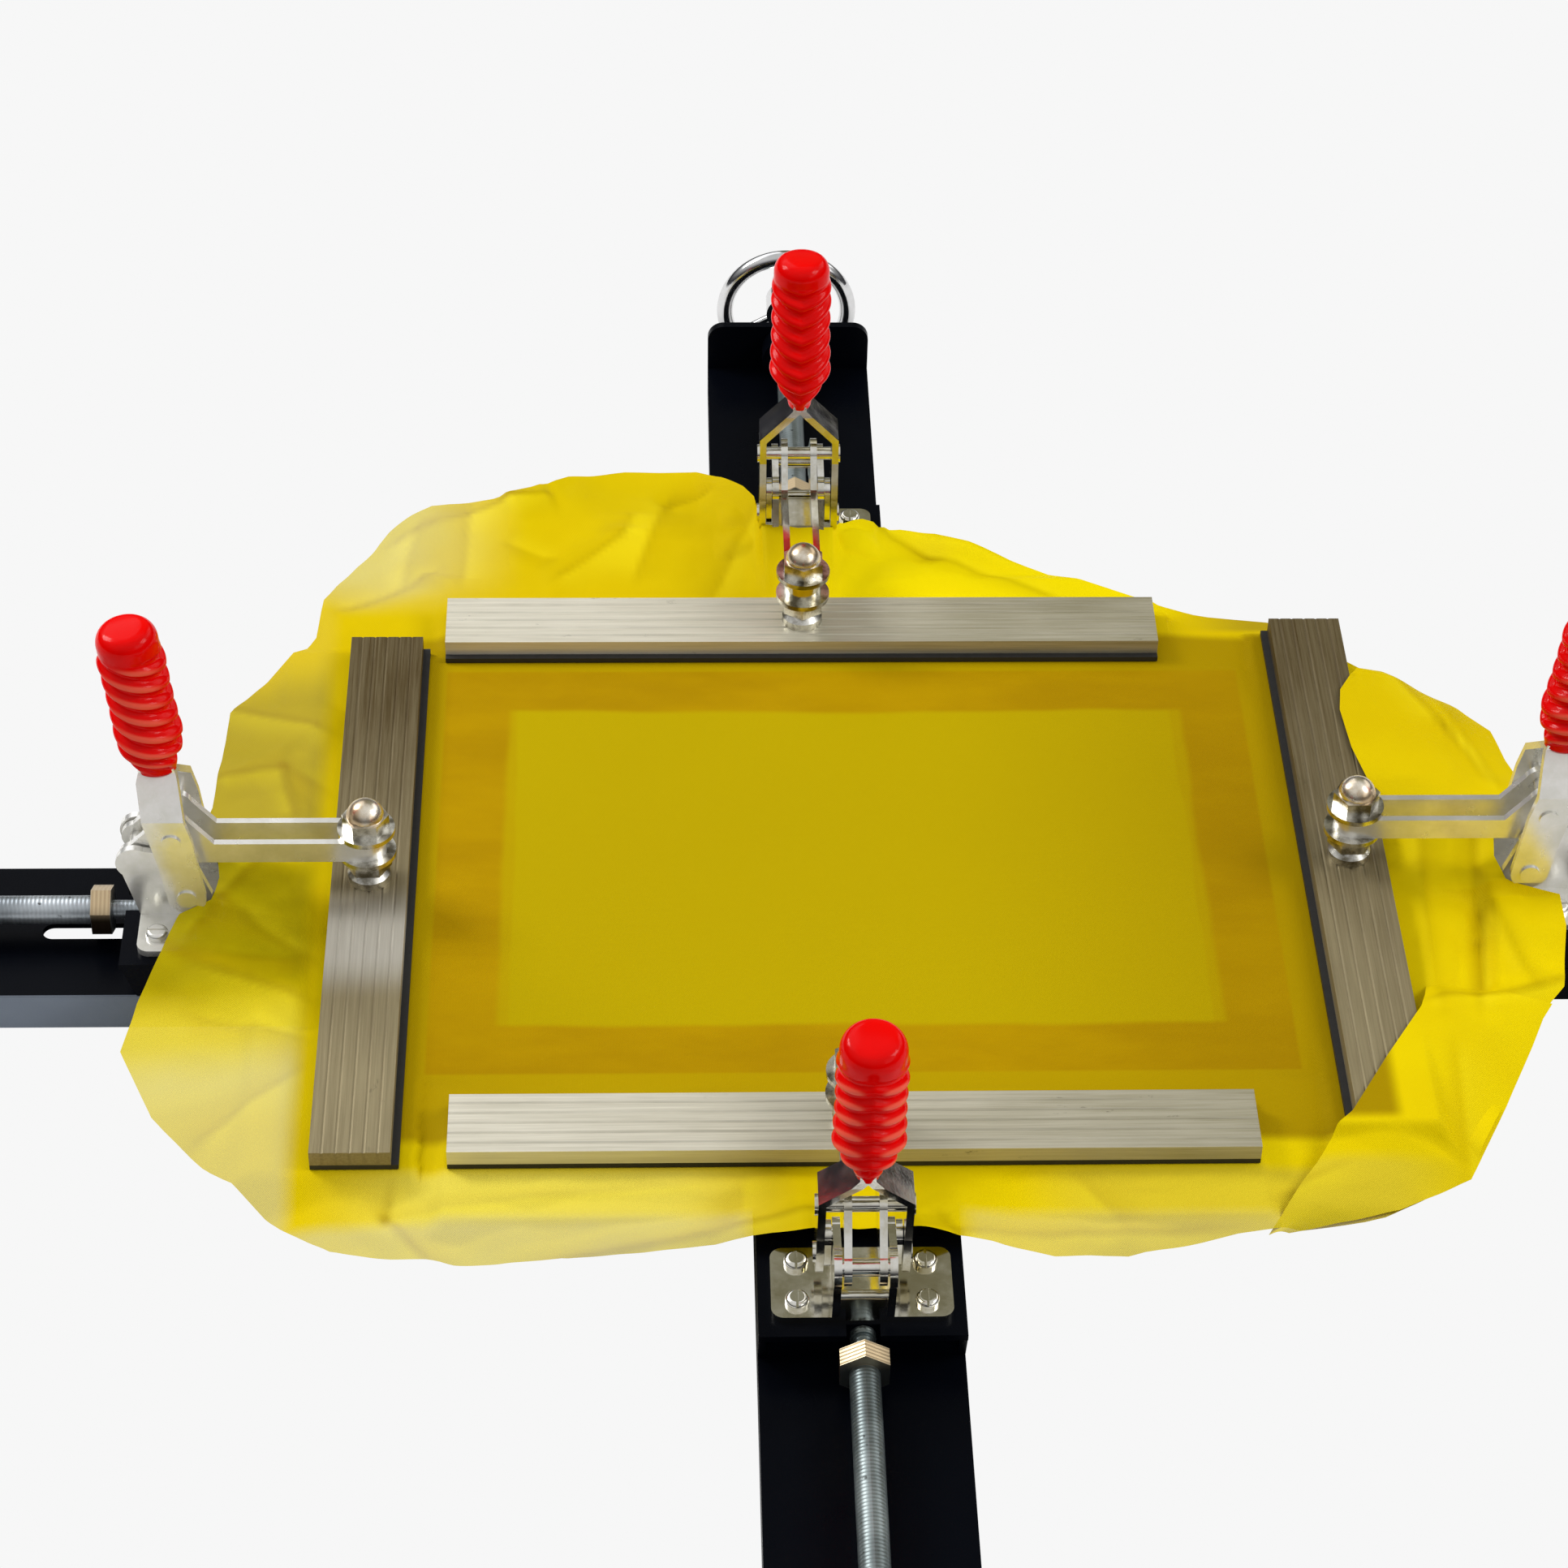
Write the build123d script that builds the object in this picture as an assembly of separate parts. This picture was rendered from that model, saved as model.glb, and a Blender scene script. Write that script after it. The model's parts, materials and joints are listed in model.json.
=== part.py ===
from build123d import *
import os
from math import cos, hypot, radians, sin

os.makedirs("parts", exist_ok=True)

# All sizes are in millimetres. +Z is up and the floor is at z = 0.
# The origin lies on the floor under the middle of the stretched mesh.

# The screen frame lying on the arms
frame_length = 356.0
frame_depth = 256.0
frame_height = 20.0
frame_member = 28.0
frame_corner = 2.0
frame_x = -3.0
frame_y = 6.0

# The cross of four channel arms, each set off sideways from its own centre
cross_x = -15.0
cross_y = -8.0
arm_offset = 6.0
arm_start = 46.0
arm_width = 80.0
arm_height = 18.0
arm_wall = 2.5
foot_height = 9.0
foot_radius = 17.0
foot_chamfer = 1.0
foot_stem_radius = 6.0
foot_inset = 30.0
arm_top = foot_height + arm_height
arm_half = arm_width / 2
frame_top = arm_top + frame_height

# The plate under the arms, below the window of the frame
centre_plate_margin = 20.0
centre_plate_wall = 3.0
centre_plate_corner = 12.0

# The gaps from the frame's edges to the jaws
back_gap = 9.0
front_gap = 21.0
left_gap = 11.0
right_gap = 17.0

# Each station: the turn of its arm, how far the frame's edge lies from the
# cross on that side, and the gap from that edge to the jaw
stations = {
    "back": (90.0, frame_depth / 2 + frame_y - cross_y, back_gap),
    "front": (-90.0, frame_depth / 2 - frame_y + cross_y, front_gap),
    "left": (180.0, frame_length / 2 - frame_x + cross_x, left_gap),
    "right": (0.0, frame_length / 2 + frame_x - cross_x, right_gap),
}

# The jaws of a station; x runs outward from the middle of the jaw, y along it
jaw_short_of_frame = 34.0
jaw_length = frame_length - jaw_short_of_frame
jaw_width = 32.0
jaw_half_length = jaw_length / 2
jaw_half = jaw_width / 2
reaches = {name: edge + gap + jaw_half for name, (turn, edge, gap) in stations.items()}
slide_clearance = 0.5
lower_jaw_bottom = arm_top + slide_clearance
lower_jaw_top = frame_top
lower_jaw_wall = 2.0
rubber_wall = 2.4
sheet_clearance = 0.3
mesh_wall = 0.4
mesh_bottom = frame_top + sheet_clearance
mesh_top = mesh_bottom + mesh_wall
rubber_bottom = mesh_top + sheet_clearance
rubber_lip = 3.0
jaw_bar_bottom = rubber_bottom + rubber_wall
jaw_bar_wall = 7.0
jaw_bar_top = jaw_bar_bottom + jaw_bar_wall
groove_count = 5
groove_pitch = 5.5
groove_half_width = 0.7
groove_depth = 0.35

# The saddle that carries jaw and clamp along the arm
saddle_wall = 3.0
saddle_rise = 18.0
saddle_top = arm_top + saddle_rise
saddle_bottom = arm_top + 0.3
saddle_end_top = 102.6
saddle_end_bottom = 96.6
key_start = 62.0
key_end = 82.0
key_width = 8.9
key_corner = 2.0
retainer_wall = 3.0
retainer_margin = 5.0
retainer_half_width = 14.0
retainer_top = arm_top - arm_wall - 0.3
retainer_screw_radius = 3.0
retainer_head_radius = 5.0
retainer_head_height = 5.0
retainer_screw_depth = 9.0

# How far a saddle travels, and the slot and arm that this needs
travel_inward = 5.0
travel_outward = 25.0
slot_width = 9.3
slot_spare_inner = 8.0
slot_spare_outer = 3.0
slot_start = min(reaches.values()) + key_start - travel_inward - slot_spare_inner
slot_end = max(reaches.values()) + key_end + travel_outward + slot_spare_outer
arm_past_slot = 78.0
arm_end = slot_end + arm_past_slot

# The upright plate at the outer end of an arm, with the nut the screw runs in
end_plate_wall = 4.0
end_plate_rise = 25.0
end_plate_corner = 8.0
nut_boss_radius = 13.0
nut_boss_length = 12.0

# The screw that draws the saddle outward
screw_radius = 6.0
screw_height = arm_top + 12.6
running_clearance = 0.05
thrust_clearance = 0.3
neck_radius = 4.0
neck_start = 86.0
thrust_ring_radius = 5.0
thrust_ring_wall = 3.0
neck_pocket_half = 6.5
collar_start = 109.0
collar_length = 8.4
collar_flats = 19.0

# The handwheel on the outer end of the screw
wheel_clearance = 4.0
wheel_rim_radius = 31.0
wheel_rim_section = 4.0
wheel_hub_radius = 10.0
wheel_hub_inner = 4.0
wheel_hub_outer = 10.0
wheel_past_arm = travel_inward + wheel_hub_inner + wheel_clearance
wheel_plane = arm_end - min(reaches.values()) + wheel_past_arm
wheel_spoke_radius = 2.2
wheel_spoke_reach = 27.9
wheel_spokes = 3
screw_end_past_hub = 2.0

# The mesh, level over frame and jaws and loose at the rim; its level outline
# is in parts of the level half sizes
level_past_jaw = 52.0
level_outline = [
    (-1, 0.654), (-0.931, 0.749), (-0.827, 1), (0.404, 1), (0.55, 0.9), (1, 0.559), (1, -0.597),
    (0.958, -0.73), (0.631, -0.972), (0.462, -1), (-0.669, -1), (-0.804, -0.825), (-1, -0.654),
]
rim_drop = 6.5
rim_wave = 5.0
rim_side_gap = 1.0
# Folds beside a clamp, outward from the saddle's side: how far along the level
# edge, how far out the rim is and how far along the rim
rim_folds = {
    ("back", 1): [(0, 67, 2), (48, 73, 40), (103, 72, 88), (153, 51, 136)],
    ("back", -1): [(0, 43, 2), (40, 28, 42), (84, 6, 81)],
    ("left", 1): [(0, 36, 2), (43, 44, 45), (81, 26, 67)],
    ("left", -1): [(0, 18, 3), (53, 17, 53), (109, 14, 101)],
    ("right", 1): [(0, 26, 1), (37, 21, 37), (77, 6, 73)],
    ("right", -1): [(0, 29, 2), (41, 27, 41), (81, 10, 75)],
}

# The toggle clamp; u runs inward from its base centre, v upward from its base
clamp_distance = 77.6
base_length = 70.0
base_depth = 36.0
base_wall = 3.0
base_corner = 5.0
base_screw_along = 50.0
base_screw_across = 20.0
base_screw_radius = 2.5
base_screw_head_radius = 4.7
base_screw_head_height = 3.2
base_nut_flats = 8.0
base_nut_height = 4.0
layer_gap = 0.3
web_inner = 9.0
web_wall = 3.0
web_arm_round = 8.0
web_link_round = 6.5
lip_height = 13.0
lip_radius = 2.2
link_wall = 2.5
fork_wall = 3.0
arm_pivot = (-18.0, 31.0)
link_pivot = (1.4, 28.9)
handle_pivot = (-1.0, 47.7)
toggle_pivot = (3.0, 17.0)
bush_radius = 3.5
pin_radius = 3.0
rivet_radius = 4.2
rivet_height = 1.0
open_pivot_radius = 3.3
link_end_radius = 5.5
clamp_bar_inner = 5.2
clamp_bar_wall = 3.0
clamp_bar_bottom = 28.5
clamp_bar_height = 10.0
clamp_bar_eye = 7.0

# The handle: a fork that narrows to a tang inside the grip
shoulder_start = 59.0
shoulder_end = 73.0
tang_half_width = 3.0
tang_half_depth = 4.0
tang_step = 2.0
fork_half_depth = 9.0
grip_foot_depth = 8.5
grip_foot_width = 5.5
grip_foot_length = 17.0
tang_end = 140.0
grip_foot = (-6.0, 73.0)
grip_head = (-12.8, 147.0)
grip_radius = 13.3
grip_step = 0.3

# The spindle that holds the jaw bar in the clamp arm
spindle_radius = 5.0
spindle_foot_radius = 9.0
spindle_foot_height = 3.6
spindle_cone_radius = 6.0
spindle_cone_height = 3.4
spindle_nut_flats = 17.0
spindle_nut_height = 6.6
washer_radius = 12.0
washer_wall = 2.2
acorn_radius = 8.0
acorn_straight = 3.0

MIN_Z = (Align.CENTER, Align.CENTER, Align.MIN)


def block(x0, x1, y0, y1, z0, z1):
    """A block between two opposite corners."""
    return Pos((x0 + x1) / 2, (y0 + y1) / 2, (z0 + z1) / 2) * Box(x1 - x0, y1 - y0, z1 - z0)


def round_bar(radius, start, end):
    """A round bar from one point to another."""
    way = Vector(*end) - Vector(*start)
    return Plane(origin=start, z_dir=way) * Cylinder(radius, way.length, align=MIN_Z)


def side_plate(outline, y0, y1):
    """A plate of a given (x, z) outline standing between two y values."""
    edge = Polyline(*[(x, y0, z) for x, z in outline], close=True)
    return extrude(make_face(edge), amount=y1 - y0, dir=(0, 1, 0))


def strap(start, end, radius, y0, y1):
    """A flat link with round ends about two (x, z) points."""
    dx = end[0] - start[0]
    dz = end[1] - start[1]
    middle = ((start[0] + end[0]) / 2, y1, (start[1] + end[1]) / 2)
    plane = Plane(origin=middle, x_dir=(dx, 0, dz), z_dir=(0, -1, 0))
    return plane * extrude(SlotCenterToCenter(hypot(dx, dz), 2 * radius), amount=y1 - y0)


def hexagon(flats, start, length, axis):
    """A hexagonal bar along an axis direction."""
    sketch = RegularPolygon(flats / 2, 6, major_radius=False)
    return Plane(origin=start, z_dir=axis) * extrude(sketch, amount=length)


def turned(profile, origin, axis):
    """A turned part of a given (radius, height) profile about an axis."""
    edge = Polyline(*[(r, 0, h) for r, h in profile], close=True)
    return Plane(origin=origin, z_dir=axis) * revolve(make_face(edge), Axis.Z)


def on_clamp(point):
    """Station (x, z) of a clamp (u, v) point."""
    return (clamp_distance - point[0], saddle_top + point[1])


def both_sides(make, inner, outer):
    """The same flat piece on the two sides of the clamp."""
    return make(-outer, -inner) + make(inner, outer)


def placed(shape, name, distance):
    """Turns a shape built along +x to its arm and moves it out from the cross."""
    turn = stations[name][0]
    return Pos(cross_x, cross_y, 0) * Rot(0, 0, turn) * Pos(distance, arm_offset, 0) * shape


def save(node, shape):
    """Writes one node."""
    export_step(shape, f"parts/{node}.step")


def make_arm():
    """A channel arm, open below, with its slot and its upright end plate."""
    channel = block(arm_start, arm_end, -arm_half, arm_half, foot_height, arm_top)
    inside = arm_half - arm_wall
    plate_face = arm_end - end_plate_wall
    channel -= block(
        arm_start - 1, plate_face, -inside, inside, foot_height - 1, arm_top - arm_wall
    )
    height = arm_height + end_plate_rise
    upright = Rectangle(height, arm_width)
    upright = fillet(upright.vertices().group_by(Axis.X)[-1], end_plate_corner)
    plane = Plane(
        origin=(plate_face, 0, foot_height + height / 2), x_dir=(0, 0, 1), z_dir=(1, 0, 0)
    )
    channel += plane * extrude(upright, amount=end_plate_wall)
    boss_start = (plate_face - nut_boss_length, 0, screw_height)
    channel += round_bar(nut_boss_radius, boss_start, (plate_face, 0, screw_height))
    bore_start = (boss_start[0] - 1, 0, screw_height)
    bore_end = (arm_end + 1, 0, screw_height)
    channel -= round_bar(screw_radius + running_clearance, bore_start, bore_end)
    slot = extrude(SlotOverall(slot_end - slot_start, slot_width), amount=arm_wall + 2)
    channel -= Pos((slot_start + slot_end) / 2, 0, arm_top - arm_wall - 1) * slot
    return channel


def make_foot():
    """A round foot with a stem up to the underside of the arm."""
    place = Pos(arm_end - foot_inset, 0, 0)
    foot = Cylinder(foot_radius, foot_height, align=MIN_Z)
    foot = chamfer(foot.edges().group_by(Axis.Z)[0], foot_chamfer)
    stem_height = arm_top - arm_wall - foot_height
    foot += Pos(0, 0, foot_height) * Cylinder(foot_stem_radius, stem_height, align=MIN_Z)
    return place * foot


def make_centre_plate():
    """The plate under the arms, a margin larger than the window of the frame."""
    length = frame_length - 2 * (frame_member - centre_plate_margin)
    depth = frame_depth - 2 * (frame_member - centre_plate_margin)
    plate = extrude(RectangleRounded(length, depth, centre_plate_corner), amount=centre_plate_wall)
    return Pos(frame_x, frame_y, foot_height - centre_plate_wall) * plate


def make_screen_frame():
    """The rectangular frame of the screen."""
    outside = RectangleRounded(frame_length, frame_depth, frame_corner)
    inside = Rectangle(frame_length - 2 * frame_member, frame_depth - 2 * frame_member)
    return Pos(frame_x, frame_y, arm_top) * extrude(outside - inside, amount=frame_height)


def make_fold(inner_a, inner_b, outer_a, outer_b, rise):
    """A loose panel of the rim, from a straight inner edge to a curved outer edge."""
    def straight(a, b, z0, z1):
        corners = [(*a, z0), (*b, z0), (*b, z1), (*a, z1)]
        return Wire([Line(corners[i], corners[(i + 1) % 4]).edge() for i in range(4)])

    def curved(a, b, z0, z1):
        middle = ((a[0] + b[0]) / 2, (a[1] + b[1]) / 2)
        low = ThreePointArc((*a, z0), (*middle, z0 + rise), (*b, z0)).edge()
        high = ThreePointArc((*b, z1), (*middle, z1 + rise), (*a, z1)).edge()
        return Wire([low, Line((*b, z0), (*b, z1)).edge(), high, Line((*a, z1), (*a, z0)).edge()])

    inner = straight(inner_a, inner_b, mesh_bottom, mesh_top)
    outer = curved(outer_a, outer_b, mesh_bottom - rim_drop, mesh_top - rim_drop)
    return Solid.make_loft([inner, outer], ruled=True)


def make_mesh():
    """The mesh: a level middle and the folds of its loose rim."""
    half_length = max(reaches["left"] - cross_x, reaches["right"] + cross_x) + level_past_jaw
    half_depth = max(reaches["front"] - cross_y, reaches["back"] + cross_y) + level_past_jaw
    outline = [(x * half_length, y * half_depth, mesh_bottom) for x, y in level_outline]
    level = extrude(make_face(Polyline(*outline, close=True)), amount=mesh_wall, dir=(0, 0, 1))
    mesh = level
    for (name, side), folds in rim_folds.items():
        start = arm_half + rim_side_gap
        for number in range(len(folds) - 1):
            inner = []
            outer = []
            for along, out, rim_along in folds[number:number + 2]:
                inner.append((level_past_jaw, side * (start + along)))
                outer.append((level_past_jaw + out, side * (start + rim_along)))
            rise = rim_wave if number % 2 == 0 else -rim_wave
            mesh += placed(make_fold(*inner, *outer, rise), name, reaches[name])
    return mesh


def make_lower_jaw():
    """The square tube under the mesh, open at its ends."""
    tube = block(
        -jaw_half, jaw_half, -jaw_half_length, jaw_half_length, lower_jaw_bottom, lower_jaw_top
    )
    tube = fillet(tube.edges().filter_by(Axis.Y), 1.5)
    inside = jaw_half - lower_jaw_wall
    tube -= block(
        -inside, inside, -jaw_half_length - 1, jaw_half_length + 1,
        lower_jaw_bottom + lower_jaw_wall, lower_jaw_top - lower_jaw_wall,
    )
    return tube


def make_jaw_bar():
    """The upper bar, with long grooves in its top face."""
    outline = [(-jaw_half, jaw_bar_bottom), (-jaw_half, jaw_bar_top)]
    for number in range(groove_count):
        middle = (number - (groove_count - 1) / 2) * groove_pitch
        outline.append((middle - groove_half_width, jaw_bar_top))
        outline.append((middle, jaw_bar_top - groove_depth))
        outline.append((middle + groove_half_width, jaw_bar_top))
    outline.extend([(jaw_half, jaw_bar_top), (jaw_half, jaw_bar_bottom)])
    return side_plate(outline, -jaw_half_length, jaw_half_length)


def make_rubber():
    """The gripping strip under the bar, with a lip on its inner side."""
    return block(
        -jaw_half - rubber_lip, jaw_half, -jaw_half_length, jaw_half_length,
        rubber_bottom, jaw_bar_bottom,
    )


def base_screw_spots():
    """Station (x, y) places of the four screws of a clamp."""
    spots = []
    for x in (-base_screw_across / 2, base_screw_across / 2):
        for y in (-base_screw_along / 2, base_screw_along / 2):
            spots.append((clamp_distance + x, y))
    return spots


def make_carriage():
    """The saddle: top plate, side flanges, end wall and the key in the arm's slot."""
    saddle = block(
        jaw_half, saddle_end_top, -arm_half, arm_half, saddle_top - saddle_wall, saddle_top
    )
    outline = [
        (jaw_half, saddle_bottom), (jaw_half, saddle_top),
        (saddle_end_top, saddle_top), (saddle_end_bottom, saddle_bottom),
    ]
    saddle += side_plate(outline, -arm_half, saddle_wall - arm_half)
    saddle += side_plate(outline, arm_half - saddle_wall, arm_half)
    wall_face = saddle_end_bottom - saddle_wall
    saddle += block(
        wall_face, saddle_end_bottom, -arm_half, arm_half, saddle_bottom, saddle_top
    )
    for x0, x1 in ((neck_start - 2, wall_face), (saddle_end_bottom, saddle_end_top + 1)):
        saddle -= block(
            x0, x1, -neck_pocket_half, neck_pocket_half,
            saddle_top - saddle_wall, saddle_top + 1,
        )
    saddle -= round_bar(
        neck_radius + running_clearance,
        (wall_face - 1, 0, screw_height),
        (saddle_end_bottom + 1, 0, screw_height),
    )
    key_half = key_width / 2
    key = block(key_start, key_end, -key_half, key_half, retainer_top, saddle_top - saddle_wall)
    saddle += fillet(key.edges().filter_by(Axis.Z), key_corner)
    middle = (key_start + key_end) / 2
    saddle -= round_bar(
        retainer_screw_radius + running_clearance,
        (middle, 0, retainer_top - 1),
        (middle, 0, retainer_top + retainer_screw_depth),
    )
    hole = Cylinder(base_screw_radius + running_clearance, 4 * saddle_wall)
    for x, y in base_screw_spots():
        saddle -= Pos(x, y, saddle_top) * hole
    return saddle


def make_mounting_hardware():
    """The four screws and nuts of the clamp, and the plate held under the key."""
    solids = []
    head_bottom = saddle_top + base_wall
    nut_top = saddle_top - saddle_wall
    for x, y in base_screw_spots():
        head = Pos(x, y, head_bottom) * Cylinder(
            base_screw_head_radius, base_screw_head_height, align=MIN_Z
        )
        head = fillet(head.edges().group_by(Axis.Z)[-1], base_screw_head_height * 0.6)
        shank = round_bar(base_screw_radius, (x, y, nut_top - base_nut_height), (x, y, head_bottom))
        nut = hexagon(
            base_nut_flats, (x, y, nut_top - base_nut_height), base_nut_height, (0, 0, 1)
        )
        slot = block(
            x - base_screw_head_radius, x + base_screw_head_radius, y - 0.5, y + 0.5,
            head_bottom + base_screw_head_height - 1.2, head_bottom + base_screw_head_height + 1,
        )
        solids.append(head + shank + nut - slot)
    retainer_bottom = retainer_top - retainer_wall
    middle = (key_start + key_end) / 2
    plate = block(
        key_start - retainer_margin, key_end + retainer_margin,
        -retainer_half_width, retainer_half_width, retainer_bottom, retainer_top,
    )
    plate += round_bar(
        retainer_screw_radius,
        (middle, 0, retainer_bottom),
        (middle, 0, retainer_top + retainer_screw_depth - 1),
    )
    plate += round_bar(
        retainer_head_radius,
        (middle, 0, retainer_bottom - retainer_head_height),
        (middle, 0, retainer_bottom),
    )
    solids.append(plate)
    return solids


def make_clamp_base():
    """The bent base of the toggle clamp with its two webs, bush and link pins."""
    plate = RectangleRounded(base_depth, base_length, base_corner)
    base = Pos(clamp_distance, 0, saddle_top) * extrude(plate, amount=base_wall)
    hole = Cylinder(base_screw_radius + running_clearance, 4 * base_wall)
    for x, y in base_screw_spots():
        base -= Pos(x, y, saddle_top) * hole
    half = base_depth / 2
    arm_u, arm_v = arm_pivot
    link_u, link_v = link_pivot
    corners = [
        (half - 1, 1), (link_u + web_link_round, link_v - 1), (link_u + 0.6, link_v + web_link_round - 0.4),
        (arm_u + 1, arm_v + web_arm_round - 0.5), (arm_u - web_arm_round + 0.5, arm_v + 2),
        (0.5 - half, 1),
    ]
    outline = [on_clamp(corner) for corner in corners]
    outer = web_inner + web_wall
    pivot = on_clamp(arm_pivot)
    joint = on_clamp(link_pivot)

    def web(y0, y1):
        shape = side_plate(outline, y0, y1)
        shape += round_bar(web_arm_round, (pivot[0], y0, pivot[1]), (pivot[0], y1, pivot[1]))
        shape += round_bar(web_link_round, (joint[0], y0, joint[1]), (joint[0], y1, joint[1]))
        return shape

    base += both_sides(web, web_inner, outer)
    # The rear lip that joins the webs, with the stepped window above it
    rear_x = clamp_distance + half
    lip_z = saddle_top + lip_height
    base += block(rear_x - web_wall, rear_x, -outer, outer, saddle_top + 1, lip_z)
    lip_x = rear_x - lip_radius
    base += round_bar(lip_radius, (lip_x, -outer, lip_z), (lip_x, outer, lip_z))
    base += round_bar(bush_radius, (pivot[0], -outer, pivot[1]), (pivot[0], outer, pivot[1]))
    link_outer = outer + layer_gap + link_wall
    for side in (-1, 1):
        base += round_bar(
            pin_radius,
            (joint[0], side * web_inner, joint[1]),
            (joint[0], side * link_outer, joint[1]),
        )
    return base


def make_clamp_arm():
    """The bar bent round the spindle, with its eye and its ear."""
    bottom = saddle_top + clamp_bar_bottom
    top = bottom + clamp_bar_height
    inner = clamp_bar_inner
    outer = inner + clamp_bar_wall
    pivot = on_clamp(arm_pivot)
    ear = on_clamp(handle_pivot)
    arm_u, arm_v = arm_pivot
    ear_u, ear_v = handle_pivot
    rise = [
        on_clamp(point)
        for point in [
            (clamp_distance, clamp_bar_bottom), (clamp_distance, clamp_bar_bottom + clamp_bar_height),
            (ear_u + 16, clamp_bar_bottom + clamp_bar_height), (ear_u + 5.5, ear_v + 4),
            (ear_u - 4, ear_v + 5.5), (arm_u - 2, arm_v + clamp_bar_eye - 0.5),
            (arm_u - 2, clamp_bar_bottom),
        ]
    ]

    def leg(y0, y1):
        shape = side_plate(rise, y0, y1)
        shape += round_bar(clamp_bar_eye, (pivot[0], y0, pivot[1]), (pivot[0], y1, pivot[1]))
        shape += round_bar(clamp_bar_eye, (ear[0], y0, ear[1]), (ear[0], y1, ear[1]))
        return shape

    arm = both_sides(leg, inner, outer)
    bend = extrude(Circle(outer) - Circle(inner), amount=clamp_bar_height)
    bend -= block(0, outer + 1, -outer - 1, outer + 1, -1, clamp_bar_height + 1)
    arm += Pos(0, 0, bottom) * bend
    arm -= round_bar(
        bush_radius + running_clearance, (pivot[0], -outer - 1, pivot[1]), (pivot[0], outer + 1, pivot[1])
    )
    arm -= round_bar(
        pin_radius + running_clearance, (ear[0], -outer - 1, ear[1]), (ear[0], outer + 1, ear[1])
    )
    return arm


def make_link():
    """The pair of short links between base and handle."""
    start = on_clamp(link_pivot)
    end = on_clamp(toggle_pivot)
    inner = web_inner + web_wall + layer_gap
    outer = inner + link_wall
    solids = []
    for y0, y1 in ((-outer, -inner), (inner, outer)):
        link = strap(start, end, link_end_radius, y0, y1)
        link -= round_bar(
            pin_radius + running_clearance, (start[0], y0 - 1, start[1]), (start[0], y1 + 1, start[1])
        )
        link -= round_bar(open_pivot_radius, (end[0], y0 - 1, end[1]), (end[0], y1 + 1, end[1]))
        solids.append(link)
    return solids


def make_handle():
    """The handle: fork plates, shoulders and tang, with its pin and rivets."""
    ear = on_clamp(handle_pivot)
    toe = on_clamp(toggle_pivot)
    foot = on_clamp(grip_foot)
    inner = web_inner + web_wall + layer_gap + link_wall + layer_gap
    outer = inner + fork_wall
    reach = outer + 1
    side = strap(toe, ear, fork_half_depth - 1, -reach, reach)
    foot_u, foot_v = grip_foot
    lean = (handle_pivot[0] - foot_u) / (foot_v - handle_pivot[1])
    level_u = handle_pivot[0] - lean * (shoulder_end - handle_pivot[1])
    body = [
        (toggle_pivot[0] + fork_half_depth - 1.5, toggle_pivot[1] + 3),
        (handle_pivot[0] + fork_half_depth - 0.5, handle_pivot[1]),
        (level_u + fork_half_depth - 0.5, shoulder_end - 3),
        (level_u + grip_foot_depth - 1.5, shoulder_end + tang_step),
        (level_u - grip_foot_depth + 1.5, shoulder_end + tang_step),
        (level_u - fork_half_depth + 0.5, shoulder_end - 3),
        (handle_pivot[0] - fork_half_depth, handle_pivot[1]),
        (toggle_pivot[0] - fork_half_depth + 1.5, toggle_pivot[1] + 3),
    ]
    side += side_plate([on_clamp(corner) for corner in body], -reach, reach)
    ahead = (grip_head[0] - grip_foot[0]) / (grip_head[1] - grip_foot[1])
    tang_top = on_clamp((grip_foot[0] + ahead * (tang_end - grip_foot[1]), tang_end))
    side += strap(foot, tang_top, tang_half_depth, -reach, reach)
    steep = hypot(outer - tang_half_width, shoulder_end - shoulder_start)
    slope = (shoulder_end - shoulder_start) / (outer - tang_half_width)
    drop = fork_wall * steep / (outer - tang_half_width)
    inner_start = shoulder_start + (outer - inner) * slope - drop
    inner_apex = shoulder_start + outer * slope - drop
    front = [
        (-outer, 5), (-outer, shoulder_start), (-tang_half_width, shoulder_end),
        (-tang_half_width, tang_end + 10), (tang_half_width, tang_end + 10),
        (tang_half_width, shoulder_end), (outer, shoulder_start), (outer, 5),
        (inner, 5), (inner, inner_start), (0, inner_apex), (-inner, inner_start), (-inner, 5),
    ]
    edge = Polyline(*[(0, y, saddle_top + v) for y, v in front], close=True)
    front_solid = extrude(make_face(edge), amount=clamp_distance * 2, dir=(1, 0, 0))
    handle = side & front_solid
    handle += round_bar(pin_radius, (ear[0], -outer, ear[1]), (ear[0], outer, ear[1]))
    for point in (ear, toe):
        for way in (-1, 1):
            rivet = round_bar(
                rivet_radius,
                (point[0], way * outer, point[1]),
                (point[0], way * (outer + rivet_height), point[1]),
            )
            handle += rivet
    return handle


def make_grip(handle):
    """The grip: flattened where it meets the handle, round above, fitted over the tang."""
    foot = on_clamp(grip_foot)
    head = on_clamp(grip_head)
    axis = Vector(head[0] - foot[0], 0, head[1] - foot[1])
    length = axis.length
    profile = [
        (0, grip_foot_length), (grip_radius, grip_foot_length), (grip_radius, length - 10),
        (grip_radius - 1.3, length - 4), (grip_radius - 5.0, length - 0.8), (0, length),
    ]
    grip = turned(profile, (foot[0], 0, foot[1]), axis)
    plane = Plane(origin=(foot[0], 0, foot[1]), x_dir=(axis.Z, 0, -axis.X), z_dir=axis)
    sections = [
        plane * Ellipse(grip_foot_depth, grip_foot_width),
        plane.offset(grip_foot_length) * Ellipse(grip_radius - grip_step, grip_radius - 2 * grip_step),
    ]
    grip += loft(sections, ruled=True)
    return grip - handle


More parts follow.
